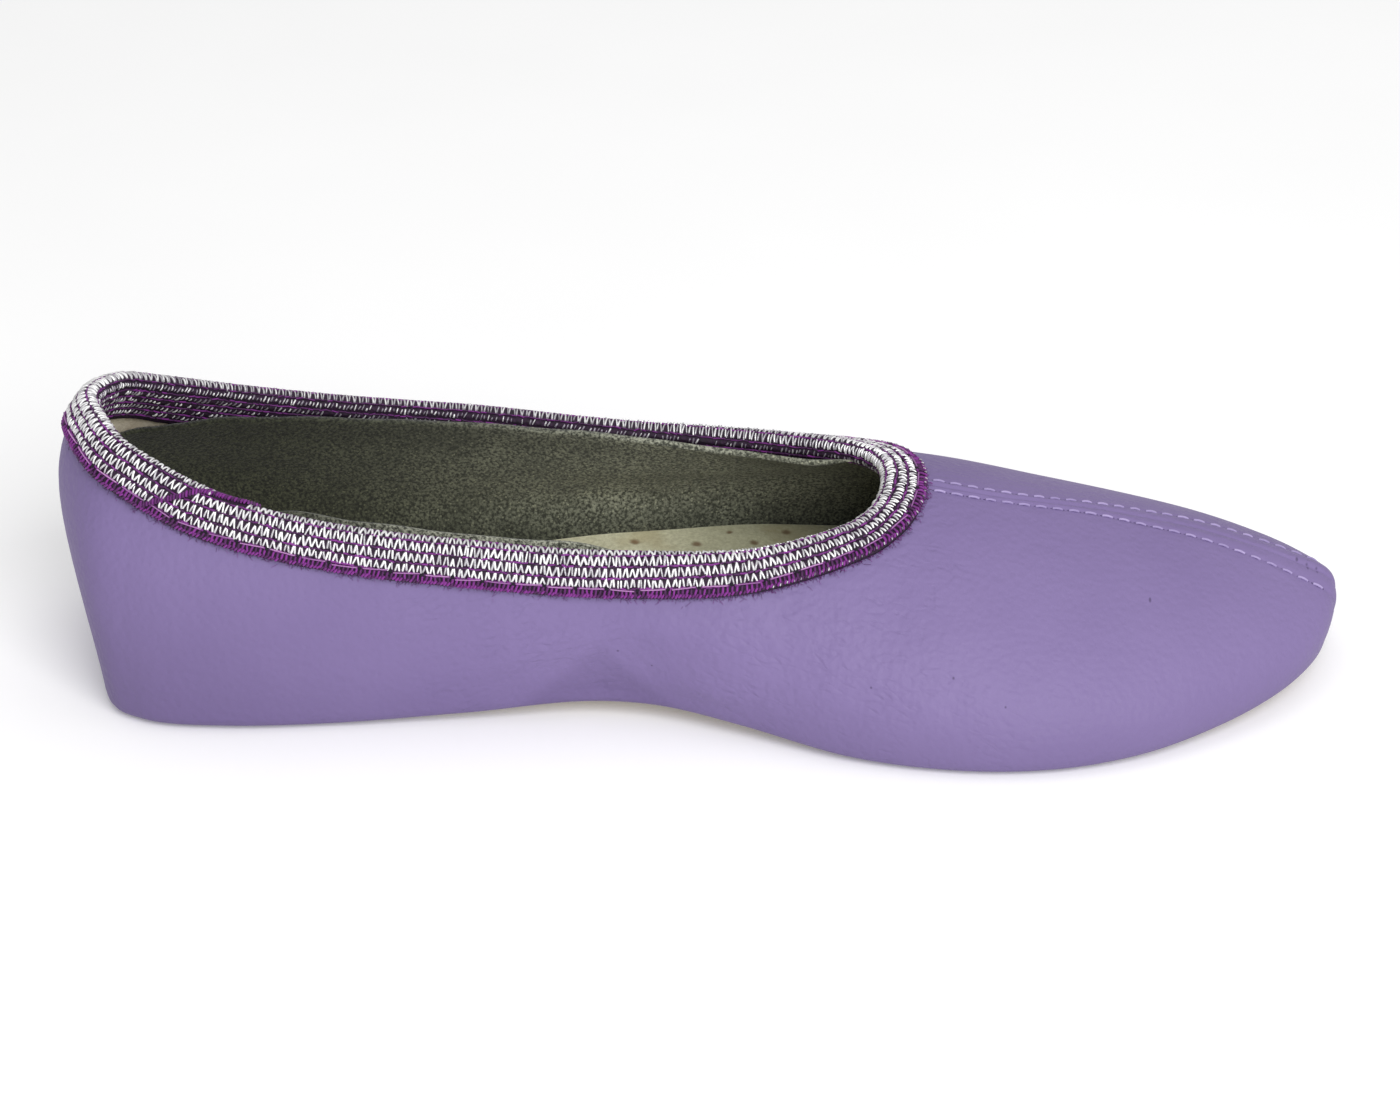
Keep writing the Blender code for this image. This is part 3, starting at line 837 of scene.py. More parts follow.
def row_swell(g):
    """Swelling of the knit over each row of loops, with grooves between the rows."""
    swell = np.zeros_like(g)
    for middle, length in OUTSIDE_ROWS + INSIDE_ROWS:
        swell = np.maximum(swell, np.clip(1 - ((g - middle) / (0.55 * length)) ** 2, 0, 1))
    edge = np.clip(1 - ((g - (EDGE_FROM + BAND_END_OUTSIDE) / 2) / 1.2) ** 2, 0, 1)
    return KNIT_SWELL * swell + EDGE_SWELL * edge


def build_binding(material):
    """Body of the folded knit strip round the collar edge."""
    columns = 2 * BAND_COLUMNS
    s = np.linspace(0, EDGE_TOTAL, columns + 1)[:-1]
    lines = []
    for value in np.linspace(BAND_END_OUTSIDE, BAND_END_INSIDE, BAND_LINES):
        g = np.full(columns, value)
        lines.append(band_place(s, g, row_swell(g) - KNIT_SINK)[0])
    inside = -WALL - GAP
    under = ((inside, BINDING_DEPTH_INSIDE), (inside, 4.0), (inside, 0.0), (inside, -GAP),
             (GAP, -GAP), (GAP, 0.0), (GAP, 4.0), (GAP, FOLD_START + BAND_END_OUTSIDE - QUARTER))
    for off, depth in under:
        lines.append(wall_place(s, np.full(columns, off), np.full(columns, depth))[0])
    grid = np.array(lines)
    number = np.arange(len(grid) * columns).reshape(-1, columns)
    after = np.roll(number, -1, axis=1)
    faces = np.stack([number, after, np.roll(after, -1, axis=0), np.roll(number, -1, axis=0)], -1)
    return new_piece("collar_binding_knit", grid.reshape(-1, 3), faces.reshape(-1, 4).tolist(), material)


def even_places(count, shift=0.0):
    """Places spread evenly along the whole edge."""
    return (np.arange(count) + shift) * EDGE_TOTAL / count


def leaning_row(kept, s, g, lean, sizes, shade, sink):
    """One row of loops that lean along the edge, without the loops that are left out."""
    point, along_edge, round_way, outward = band_place(s[kept], g[kept], sink)
    return point, round_way + along_edge * lean[kept][:, None], outward, sizes[kept], shade[kept]


def clear_of_lap(s, g, reach, room):
    """True where a loop that reaches up and down from its middle keeps clear of the lapped end."""
    rows = np.array(LAP)
    line = np.stack([inner_s(rows[:, 0]), rows[:, 1]], -1)
    nearest = np.full(len(s), 99.0)
    for end in (-reach, 0.0, reach):
        spot = np.stack([np.mod(s, EDGE_TOTAL), g + end], -1)
        for a, b in zip(line[:-1], line[1:]):
            share = np.clip((spot - a) @ (b - a) / ((b - a) @ (b - a)), 0, 1)
            nearest = np.minimum(nearest, np.linalg.norm(spot - a - share[:, None] * (b - a), axis=1))
    return nearest > room


def build_outside_loops(material):
    """Silver legs of the loops on the outside and the fold, leaning left and right in turn."""
    rows = []
    for row, (middle, length) in enumerate(OUTSIDE_ROWS):
        count = 2 * int(EDGE_TOTAL / LOOP_PITCH / 2)
        turn = np.where(np.arange(count) % 2 == 0, 1, -1)
        s = even_places(count, 0.37 * row) + 0.04 * turn + rng.normal(0, 0.055, count)
        g = middle + rng.normal(0, 0.10, count)
        lean = turn * (0.21 + rng.normal(0, 0.09, count))
        far = smooth_step(0, 40, s - EDGE_THROAT) * smooth_step(0, 30, EDGE_TOTAL - s)
        thin = 1 - 0.14 * smooth_step(8, 26, edge_x(s))
        lengths = length * thin * rng.uniform(0.78, 1.04, count)
        widths = rng.uniform(0.32, 0.48, count) * (1 - 0.20 * far) * thin
        sizes = triple(lengths, widths, rng.uniform(0.38, 0.60, count))
        # Painted shade dims the loops on the outer side of the edge
        shade = rng.uniform(0.35, 1.35, count) - 0.25 * far
        kept = clear_of_lap(s, g, 0.45, 0.15)
        lean = lean * (1 - 0.5 * far)
        rows.append(leaning_row(kept, s, g, lean, sizes, shade, -OUTSIDE_LOOP_SINK))
    return lay_rows("binding_silver_loops", rows, material, sag=1.0)


def build_inside_loops(material):
    """Smaller silver loops on the inside of the strip, most of them half sunk in the purple."""
    rows = []
    for row, (middle, length) in enumerate(INSIDE_ROWS):
        count = int(EDGE_TOTAL / (0.85 if row else 0.70))
        s = even_places(count, 0.4 * row) + rng.normal(0, 0.05, count)
        g = middle + rng.normal(0, 0.10, count)
        front = smooth_step(-70, -20, edge_x(s))
        kept = rng.uniform(0, 1, count) < (0.86 if row else 1.0) - 0.30 * front
        sizes = triple(length * rng.uniform(0.45, 0.95, count), rng.uniform(0.20, 0.40, count),
                       rng.uniform(0.26, 0.46, count))
        lean = rng.normal(0.55 if row else 0.35, 0.18, count)
        # Painted shade dims the inside loops towards the front
        shade = rng.uniform(-0.3, 0.9, count) - 0.25 * front
        rows.append(leaning_row(kept, s, g, lean, sizes, shade, -INSIDE_LOOP_SINK))
    return lay_rows("binding_inside_loops", rows, material, sag=0.9)


def lap_edge():
    """Whipped edge of the lapped end: points, ways, outward directions, sizes and shades of its turns."""
    rows = np.array(LAP)
    line = np.stack([inner_s(rows[:, 0]), rows[:, 1]], -1)
    run = run_along(line)
    share = np.arange(0.2, run[-1], 0.55)

    def place(at, lift):
        return band_place(np.interp(at, run, line[:, 0]), np.interp(at, run, line[:, 1]), lift)

    point, _, _, outward = place(share, 0.02)
    follow = unit(place(share + 0.3, 0.0)[0] - place(share - 0.3, 0.0)[0])
    sizes = triple(rng.uniform(0.95, 1.15, len(share)), 0.48, 0.60)
    return point, np.cross(outward, follow) + 0.45 * follow, outward, sizes, rng.uniform(0, 1, len(share))


def build_purple_edge(material):
    """Upright purple ribs of the strip's lower edge, its twisted border, and the edge of the lapped end."""
    rows = []
    for middle, length, lean, pitch in EDGE_RIBS:
        count = int(EDGE_TOTAL / pitch)
        s = even_places(count)
        g = middle + 0.07 * np.sin(s / 3.1) + 0.05 * np.sin(s / 1.27 + 1.0) + rng.normal(0, 0.04, count)
        point, along_edge, round_way, outward = band_place(s, g, -EDGE_RIB_SINK)
        way = round_way + along_edge * (lean + rng.normal(0, 0.12, count))[:, None]
        sizes = triple(length * rng.uniform(0.9, 1.1, count), rng.uniform(0.40, 0.52, count),
                       rng.uniform(0.44, 0.58, count))
        rows.append((point, way, outward, sizes, rng.uniform(-0.2, 1.5, count)))
    rows.append(lap_edge())
    return lay_rows("binding_purple_edge", rows, material, sag=0.7)


def build_groove_lines(material):
    """Fine purple lines lying in the grooves between the rows of loops."""
    rows = []
    count = int(EDGE_TOTAL / GROOVE_LINE_PITCH)
    for middle, width in GROOVE_LINES:
        outside = middle > 0
        g = middle + rng.normal(0, 0.05, count)
        s = even_places(count, 0.5 * outside)
        point, along_edge, round_way, outward = band_place(s, g, -GROOVE_LINE_SINK)
        sizes = triple(rng.uniform(0.9, 1.45, count), width * rng.uniform(0.7, 1.15, count), 0.40)
        way = along_edge + round_way * rng.normal(0, 0.16, count)[:, None]
        # Painted shade dims the lines on the inside of the strip
        rows.append((point, way, outward, sizes, rng.uniform(-0.3, 1.2, count) - 0.3 * (not outside)))
    return lay_rows("binding_purple_lines", rows, material, sag=0.3, sides=4, steps=2)


def build_topstitch(material, hole_material):
    """Row of plum sewing stitches that holds the strip on the leather, with a needle hole after each."""
    count = int(EDGE_TOTAL / TOPSTITCH_PITCH)
    s = even_places(count, 0.3)
    g = TOPSTITCH_ROUND + 0.10 * np.sin(s / 4.0) + rng.normal(0, 0.06, count)
    point, along_edge, round_way, outward = band_place(s, g, -TOPSTITCH_SINK)
    sizes = triple(rng.uniform(4.0, 4.6, count), 0.24, 0.30)
    way = along_edge + round_way * rng.normal(0.02, 0.05, count)[:, None]
    stitches = lay_yarn("binding_topstitch", point, way, outward, sizes, rng.uniform(0, 1, count), material,
                        sag=0.9, sides=6, steps=8)
    point, along_edge, _, outward = band_place(s + TOPSTITCH_PITCH / 2, g, -BAND_HOLE_SINK)
    holes = lay_yarn("binding_needle_holes", point, along_edge, outward, (0.62, 0.60, 0.16), np.zeros(count),
                     hole_material, sag=0.0, sides=7)
    return stitches, holes


def build_edge_beads(material):
    """Small silver loop heads along the strip's very edge, thickest round the throat."""
    s = even_places(int(EDGE_TOTAL / BEAD_PITCH))
    s = s[rng.uniform(0, 1, len(s)) < 0.02 + 0.93 * smooth_step(6, 16, edge_x(s))]
    count = len(s)
    g = BEAD_ROUND + rng.normal(0, 0.08, count)
    point, along_edge, round_way, outward = band_place(s, g, -BEAD_SINK)
    sizes = triple(rng.uniform(0.32, 0.56, count), rng.uniform(0.20, 0.30, count), 0.28)
    return lay_yarn("binding_edge_beads", point, round_way + 0.6 * along_edge, outward, sizes,
                    rng.uniform(-0.3, 0.8, count), material, sag=0.3)


def build_fuzz(material):
    """Short loose purple fibres that stray from the strip's edge on to the leather."""
    count = FUZZ_COUNT
    s = rng.uniform(0, EDGE_TOTAL, count)
    depth = FOLD_START + (BAND_END_OUTSIDE - 0.3 + rng.exponential(0.30, count)) - QUARTER
    point, normal, down = wall_place(s, 0.10 + rng.exponential(0.10, count), depth)
    way = down + np.cross(down, normal) * rng.normal(0, 0.9, count)[:, None]
    way = way + normal * rng.normal(0.10, 0.15, count)[:, None]
    sizes = triple(rng.uniform(0.5, 1.5, count), rng.uniform(0.045, 0.075, count), 0.10)
    return lay_yarn("binding_fuzz", point, way, normal, sizes, rng.uniform(0, 1, count), material,
                    sag=2.0, sides=3, steps=3)


# Forms: felt lining, heel lining, insole and sole
FELT_THICKNESS = 1.1
FELT_COLUMNS = 130
FELT_VAMP_COLUMNS = 50
FELT_ROWS = 30
FELT_CLEARANCE = 0.12
FELT_OVER_BINDING = 1.55
VAMP_FELT_FROM = 33.5

# Where the felt changes, as the start and end of each change: along x, or in depth below the collar edge
FELT_TUCKS_IN_X = {INNER: (4, 22), OUTER: (20, 31)}
FELT_COMES_OVER_DEPTH = (22, 8.5)
FELT_LEANS_DEPTH = (15, 1)
FELT_THINS_DEPTH = (14, 9)
FELT_THINS_BY = 0.85

# Bulge of the outer side's felt at its foot: size, start and end along x, up the wall and along the ribs
FOOT_BULGE = 2.0
FOOT_BULGE_X = (26, -16)
FOOT_BULGE_LOW = 4.5
FOOT_BULGE_UP = (9, 0)
FOOT_BULGE_RIBS = (0.01, 0.20)

# Painted highlight along the felt's cut edge, where its top catches light: strength, reach below the cut, and
# where it comes and goes along x
TOP_EDGE_HIGHLIGHT = {INNER: (1.0, (3.6, 2.0), (-84, -30), (2, -10)), OUTER: (0.55, (1.9, 0.8), (-60, 8), (17, 2))}

# Shade of the band on the felt: reach below the cut, and where it comes along x
BAND_SHADE_REACH = (9, 2.5)
BAND_SHADE_X = (-4, -24)

# Depth of the felt's cut edge below the collar edge, along each side: x and depth
FELT_EDGE_INNER = (
    (-112, 22.0), (-100, 11.0), (-92, 7.0), (-84, 3.0), (-78, 0.8), (-72, -0.9), (-60, -0.9), (-45, -0.5),
    (-36, -0.4), (-30, -0.6), (-22, -0.9), (-15, -0.3), (-8, 1.4), (5, 2.4), (20, 2.0), (34, 0.6),
)
FELT_EDGE_OUTER = (
    (-112, 22.0), (-100, 11.4), (-95, 8.3), (-91.5, 6.5), (-88, 4.9), (-82, 3.4), (-72, 1.5), (-60, 0.6),
    (-50, 0.3), (-40, -0.3), (-22, -1.4), (0, -2.0), (14, -2.4), (24, -1.8), (34, -0.2),
)

# How far the inner side's felt leans in from the binding: x and lean
FELT_LEAN_INNER = ((-86, 0.0), (-72, 2.4), (-45, 3.2), (-22, 3.0), (-12, 1.4), (0, 0.0))
HEEL_LINING_TO = -62.0
HEEL_LINING_OFF = (0.03, 0.11)


def inside_places(side, collar_count, vamp_count):
    collar = collar_places(side, collar_count)[0]
    vamp = THROAT_T + (1 - THROAT_T) * np.linspace(0, 1, vamp_count + 1)[1:]
    return np.concatenate([collar, np.minimum(vamp, 0.985)])


def inside_grid(side, t, top, rows):
    """Grid of points on the inside of the wall, from the insole up to the top share of each rib."""
    steps = 1 - (1 - np.linspace(0, 1, rows + 1)) ** 1.4
    h = -0.04 + (top[None, :] + 0.04) * steps[:, None]
    ribs = np.broadcast_to(t, h.shape)
    wall = last_point(ribs, h, side)
    normal = last_slopes(ribs, np.clip(h, 1e-4, 1 - 1e-4), side)[2]
    return wall, normal, h


def felt_side(side):
    """One side of the felt: its points and faces, and the marks of the painted highlight along its cut edge
    and of the band's painted shade.
    """
    t = inside_places(side, FELT_COLUMNS, FELT_VAMP_COLUMNS)
    edge_share = collar_share(t, side)
    edge_share[FELT_COLUMNS:] = 1.0
    collar_x = last_point(t, edge_share, side)[:, 0]
    depth = table_curve(FELT_EDGE_INNER if side == INNER else FELT_EDGE_OUTER, collar_x)
    climb = np.linalg.norm(last_slopes(t, np.minimum(edge_share, 0.9999), side)[1], axis=-1)
    wave = 0.14 * np.sin(collar_x / 6.3) + 0.10 * np.sin(collar_x / 2.6)
    top = edge_share - np.where(t < THROAT_T, (depth + wave * (collar_x < 15)) / climb, 0.0)
    top = np.clip(top, 0.1, 1.0 + 0.2 * (t < THROAT_T * 0.9))
    wall, normal, h = inside_grid(side, t, top, FELT_ROWS)
    ribs = np.broadcast_to(t, h.shape)
    below = (edge_share[None, :] - h) * climb[None, :]
    ahead = np.broadcast_to(np.maximum(collar_x - VAMP_FELT_FROM, 0), h.shape)
    below = np.where(t[None, :] < THROAT_T, below, ahead)
    x = wall[..., 0]
    from_top = (h[-1:] - h) * climb[None, :]
    front = smooth_step(*FELT_TUCKS_IN_X[side], x)
    over = FELT_OVER_BINDING * smooth_step(*FELT_COMES_OVER_DEPTH, below) * (1 - front)
    off = side_folds(wall, h, side) - WALL - FELT_CLEARANCE - over
    if side == INNER:
        off = off - table_curve(FELT_LEAN_INNER, x) * smooth_step(*FELT_LEANS_DEPTH, below)
    else:
        low = wall[..., 2] - section("lift", ribs) - FOOT_BULGE_LOW
        foot = FOOT_BULGE * smooth_step(*FOOT_BULGE_X, x) * smooth_step(*FOOT_BULGE_UP, low)
        off = off - foot * smooth_step(*FOOT_BULGE_RIBS, ribs)
    # Painted highlight where the felt's top catches light
    strength, reach, comes, goes = TOP_EDGE_HIGHLIGHT[side]
    strip = smooth_step(*reach, from_top) * strength * smooth_step(*comes, x) * smooth_step(*goes, x)
    thick = FELT_THICKNESS * (1 - FELT_THINS_BY * front * smooth_step(*FELT_THINS_DEPTH, below))
    dim = smooth_step(*BAND_SHADE_REACH, from_top) * smooth_step(*BAND_SHADE_X, x)
    sheet = closed_sheet(wall + normal * off[..., None], wall + normal * (off - thick)[..., None])
    return (*sheet, np.tile(strip.ravel(), 2), np.tile(dim.ravel(), 2))


def build_felt(material):
    """Felt lining of both sides and the vamp, lying over the binding's inner leg at mid-shoe."""
    inner, outer = felt_side(INNER), felt_side(OUTER)
    shifted = [[corner + len(inner[0]) for corner in face] for face in outer[1]]
    points, cut, dim = (np.concatenate([inner[k], outer[k]]) for k in (0, 2, 3))
    marks = {"lit_top_edge": cut, "under_band": dim}
    return new_piece("felt_lining", points, inner[1] + shifted, material, marks=marks)


def build_heel_lining(material):
    """Pale thin lining behind the felt at the heel."""
    grids = []
    for side in (INNER, OUTER):
        dense = collar_places(side, 400)[0]
        x = last_point(dense, collar_share(dense, side), side)[:, 0]
        t = np.interp(np.linspace(x[0], HEEL_LINING_TO, 46), x[:-2], dense[:-2])
        wall, normal, _ = inside_grid(side, t, collar_share(t, side) - 0.02, 20)
        grids.append([wall - normal * (WALL + off) for off in HEEL_LINING_OFF])
    outside, inside = (np.concatenate([grids[0][k][:, ::-1], grids[1][k][:, 1:]], axis=1) for k in (0, 1))
    return new_piece("heel_lining", *closed_sheet(outside, inside), material)


SHEET_STATIONS = 200
SHEET_ROWS = 64
INSOLE_EDGE_ROUND = 0.7
INSOLE_WAVE = 0.10
OUTSOLE_EDGE_ROUND = 0.9
OUTSOLE_EDGE_RISE = 0.5


def sheet_plan(inset):
    """Plan grid inside the outline, the rib place of every station, and the distance from the nearer edge."""
    t = np.linspace(0.004, 0.996, SHEET_STATIONS + 1)
    edges = []
    for side in (INNER, OUTER):
        plan, out = edge_plan(t, side)
        edges.append(plan - out * inset)
    mix = 0.5 - 0.5 * np.cos(np.pi * np.linspace(0, 1, SHEET_ROWS + 1))
    plan = edges[0][None] * (1 - mix)[:, None, None] + edges[1][None] * mix[:, None, None]
    from_edge = np.minimum(mix, 1 - mix)[:, None] * np.linalg.norm(plan[-1] - plan[0], axis=-1)[None, :]
    return plan, np.broadcast_to(t, plan.shape[:2]), from_edge


def round_over(from_edge, reach, least):
    """Height share of an edge that is rounded over its reach."""
    return np.sqrt(np.clip(1 - (1 - np.clip(from_edge / reach, 0, 1)) ** 2, least, 1))


def flat_piece(name, plan, top, under, material):
    """Sheet between two heights over the same plan."""
    skins = [np.concatenate([plan, z[..., None]], -1) for z in (top, under)]
    return new_piece(name, *closed_sheet(*skins), material)


# Pressed marks of the insole in millimetres: x, y, half width and depth
INSOLE_MARKS = (
    (-12.2, 27.0, 1.1, 0.45), (-0.6, 26.8, 1.1, 0.45), (10.2, 28.7, 1.0, 0.40), (16.3, 33.6, 1.0, 0.35),
    (-24.0, 25.4, 1.0, 0.40), (22.5, 29.6, 0.9, 0.35), (31.0, 30.8, 1.0, 0.35), (5.6, 31.8, 0.7, 0.25),
    (42.0, 29.0, 1.0, 0.35), (-36.0, 23.6, 1.0, 0.35),
)


def build_insole(material):
    """Insole board with a soft edge and a few pressed marks."""
    plan, t, from_edge = sheet_plan(INSOLE_INSET)
    low = section("lift", t) + INSOLE_RISE
    uneven = INSOLE_WAVE * np.sin(plan[..., 0] / 7.0) * np.cos(plan[..., 1] / 6.0)
    for x, y, width, depth in INSOLE_MARKS:
        uneven = uneven - depth * bump(np.hypot(plan[..., 0] - x, plan[..., 1] - y), width)
    top = low + INSOLE_THICKNESS * round_over(from_edge, INSOLE_EDGE_ROUND, 0.02) + uneven
    return flat_piece("insole_sheet", plan, top, low, material)


def build_outsole(material):
    """Suede sole with softly rounded lower edge."""
    plan, t, from_edge = sheet_plan(OUTSOLE_INSET)
    low = np.maximum(section("lift", t) - OUTSOLE_DROP, 0.0)
    under = low + OUTSOLE_EDGE_RISE * (1 - round_over(from_edge, OUTSOLE_EDGE_ROUND, 0))
    return flat_piece("outsole_suede", plan, low + OUTSOLE_THICKNESS, under, material)


# Forms: two rows of stitches along the vamp's centre seam
STITCH_PITCH = 3.1
STITCH_LENGTH = 1.95
STITCHES_FROM_TO = (39.5, 111.5)
NEEDLE_HOLE_AWAY = 1.12
STITCH_SINK = 0.12
NEEDLE_HOLE_SINK = 0.20


def stitch_row(side):
    """Even points of one stitch row on the leather, with the way along the row and the surface normal."""
    t = np.linspace(THROAT_T + 0.004, 0.999, 700)

    def outside(h):
        point = last_point(t, h, side)
        return np.abs(point[:, 1] - ridge_y(point[:, 0])) > seam_offset(point[:, 0])

    low = halve(np.full_like(t, 0.30), np.ones_like(t), outside, 34)[0]
    line = last_point(t, low, side)
    normal = last_slopes(t, np.clip(low, 1e-4, 1 - 1e-4), side)[2]
    run = run_along(line)

    def at(spots, values):
        return np.stack([np.interp(spots, run, values[:, k]) for k in range(3)], -1)

    first, last = np.interp(STITCHES_FROM_TO, line[:, 0], run)
    spots = np.arange(first, last, STITCH_PITCH)
    return at(spots, line), unit(at(spots + 1.0, line) - at(spots - 1.0, line)), unit(at(spots, normal))


def build_vamp_stitches(material, hole_material):
    """Pale stitches of both rows, and the needle hole at each end of a stitch."""
    rows = zip(*(stitch_row(side) for side in (INNER, OUTER)))
    points, ways, outs = (np.concatenate(parts) for parts in rows)
    count = len(points)
    sizes = triple(rng.uniform(0.94, 1.06, count) * STITCH_LENGTH, 0.52, 0.46)
    stitches = lay_yarn("vamp_stitches", points - outs * STITCH_SINK, ways, outs, sizes,
                        rng.uniform(0, 1, count), material, sag=0.75, sides=7, steps=7)
    ends = np.concatenate([points - ways * NEEDLE_HOLE_AWAY, points + ways * NEEDLE_HOLE_AWAY])
    ways, outs = np.tile(ways, (2, 1)), np.tile(outs, (2, 1))
    holes = lay_yarn("vamp_needle_holes", ends - outs * NEEDLE_HOLE_SINK, ways, outs, (0.42, 0.40, 0.12),
                     np.zeros(2 * count), hole_material, sag=0.0, sides=7)
    return stitches, holes


# Finishes: dark specks on the leather in millimetres: x, y, z and half width
LEATHER_SPECKS = (
    (-42.4, -28.4, 13.6, 0.34), (-14.3, -26.8, 15.8, 0.32), (-8.4, -27.4, 13.2, 0.26),
    (29.4, -37.4, 14.8, 0.26), (43.5, -37.3, 16.7, 0.30), (52.4, -40.4, 12.6, 0.24),
    (78.8, -19.2, 21.4, 0.32), (107.5, 1.1, 17.7, 0.36), (109.3, 0.3, 16.9, 0.36), (111.1, 0.3, 16.1, 0.34),
)
SPECK_SQUEEZE = np.array([1.0, 0.25, 1.0])

# Hairline creases of the leather: slants behind and ahead of the waist in degrees, cell and stray in mm
CREASE_SLANTS = (-21, 15)
CREASE_CELL = (4.2, 2.4, 1.5)
CREASE_STRAY = 1.8


def lilac_leather():
    # Synthetic leather, coated and embossed: satin, fine pebbles, a soft net of hairline creases that slants
    # to the waist, with a little painted shade in the creases, low down, at the heel and in the hollow
    material, tree, shader, place = new_material("lilac_synthetic_leather_coated", "#7e6fa0", 0.50)
    split = add(tree, SPLIT, (), {0: place}).node
    x, z = split.outputs["X"], split.outputs["Z"]
    lines = []
    for slant in CREASE_SLANTS:
        turned = add(tree, MAPPING, (), {"Vector": place, "Rotation": (0, np.radians(-slant), 0)})
        stray = add(tree, NOISE, (), {"Vector": turned, "Scale": per_mm(4.0), "Detail": 2.0}, "Color")
        bent = add(tree, VECTOR, TIMES_PLUS, {0: stray, 1: (CREASE_STRAY * MM,) * 3, 2: turned})
        size = [width * MM for width in CREASE_CELL]
        cell = add(tree, MAPPING, {"vector_type": "TEXTURE"}, {"Vector": bent, "Scale": size})
        border = add(tree, CELLS, {"feature": "DISTANCE_TO_EDGE"}, {"Vector": cell, "Scale": 1.0})
        line = add(tree, RANGE, SOFT, {0: border, 1: 0.0, 2: 0.24, 3: 1.0, 4: 0.0})
        short = add(tree, NOISE, (), {"Vector": turned, "Scale": per_mm(3.5), "Detail": 1.0})
        broken = add(tree, RANGE, SOFT, {0: short, 1: 0.30, 2: 0.60})
        lines.append(add(tree, MATH, TIMES, {0: line, 1: broken}))
    front = add(tree, RANGE, SOFT, {0: x, 1: -20 * MM, 2: 4 * MM})
    crease = add(tree, MIX, {"data_type": "FLOAT"}, {0: front, 2: lines[0], 3: lines[1]})
    patch = add(tree, NOISE, (), {"Vector": place, "Scale": per_mm(22.0), "Detail": 1.0})
    for worn in ({0: patch, 1: 0.32, 2: 0.62}, {0: x, 1: 40 * MM, 2: 70 * MM, 3: 1.0, 4: 0.15},
                 {0: x, 1: -88 * MM, 2: -55 * MM, 3: 0.15, 4: 1.0}):
        crease = add(tree, MATH, TIMES, {0: crease, 1: add(tree, RANGE, SOFT, worn)})
    sunk = add(tree, MATH, TIMES, {0: crease, 1: -1.0})
    pebble = add(tree, CELLS, {"feature": "SMOOTH_F1"}, {
        "Vector": place, "Scale": per_mm(1.3), "Smoothness": 0.6})
    fine = add(tree, NOISE, (), {"Vector": place, "Scale": per_mm(0.55), "Detail": 3.0})
    soft = add(tree, NOISE, (), {"Vector": place, "Scale": per_mm(6.0), "Detail": 1.0})
    under = {}
    for height, depth in ((soft, 0.24), (sunk, 0.085), (pebble, 0.15), (fine, 0.06)):
        normal = add(tree, BUMP, (), {"Strength": 1.0, "Distance": depth * MM, "Height": height, **under})
        under = {"Normal": normal}
    cloud = add(tree, NOISE, (), {"Vector": place, "Scale": per_mm(32.0), "Detail": 3.0})
    colour = add(tree, MIX, BLEND, {0: cloud, 6: linear("#786896"), 7: linear("#8676a4")}, 2)
    # Painted shade: darker low down, higher up towards the heel, and in the waist hollow
    low = add(tree, RANGE, SOFT, {0: z, 1: 2 * MM, 2: 15 * MM, 3: 0.26, 4: 0.0})
    high = add(tree, RANGE, SOFT, {0: z, 1: 2 * MM, 2: 38 * MM, 3: 0.46, 4: 0.0})
    heel = add(tree, RANGE, SOFT, {0: x, 1: -95 * MM, 2: -30 * MM, 3: 1.0, 4: 0.0})
    painted_shade = add(tree, MIX, {"data_type": "FLOAT"}, {0: heel, 2: low, 3: high})
    # drawn_in marks the waist hollow, where the shadow is painted
    drawn_in = add(tree, MARK, {"attribute_name": "drawn_in"}, out="Fac")
    painted_shade = add(tree, MATH, TIMES_PLUS, {0: drawn_in, 1: 0.21, 2: painted_shade})
    # Painted shade in the creases
    dark = add(tree, MATH, TIMES, {0: crease, 1: 0.035})
    layers = [(painted_shade, "#5c4e76"), (dark, "#4d3f68")]
    squeezed = add(tree, VECTOR, TIMES, {0: place, 1: SPECK_SQUEEZE})
    for *spot, width in LEATHER_SPECKS:
        spot = (np.array(spot) + CENTRE_SHIFT) * SPECK_SQUEEZE * MM
        away = add(tree, VECTOR, {"operation": "DISTANCE"}, {0: squeezed, 1: spot}, "Value")
        speck = add(tree, RANGE, SOFT, {0: away, 1: 0.4 * width * MM, 2: width * MM, 3: 0.6, 4: 0.0})
        layers.append((speck, "#3f3452"))
    for share, over in layers:
        colour = add(tree, MIX, BLEND, {0: share, 6: colour, 7: linear(over)}, 2)
    gloss = add(tree, RANGE, (), {0: fine, 3: 0.46, 4: 0.62})
    feed(tree, shader, {
        "Base Color": colour, "Normal": normal, "Roughness": gloss, "Specular IOR Level": 0.22})
    return material


def yarn_finish(name, dark, light, roughness, metallic=0.0, sheen=0.0):
    """Yarn whose lengths differ a little in brightness, with a fine twist across it."""
    material, tree, shader, place = new_material(name, light, roughness)
    shade = add(tree, MARK, {"attribute_name": "shade"}, out="Fac")
    twist = add(tree, NOISE, (), {"Vector": place, "Scale": per_mm(0.22), "Detail": 1.0})
    mixed = add(tree, MATH, TIMES_PLUS, {0: twist, 1: 0.8, 2: -0.4})
    varied = add(tree, MATH, {"operation": "ADD", "use_clamp": True}, {0: shade, 1: mixed})
    colour = add(tree, MIX, BLEND, {0: varied, 6: linear(dark), 7: linear(light)}, 2)
    normal = add(tree, BUMP, (), {"Strength": 0.6, "Distance": 0.06 * MM, "Height": twist})
    feed(tree, shader, {"Base Color": colour, "Normal": normal, "Metallic": metallic, "Sheen Weight": sheen})
    return material


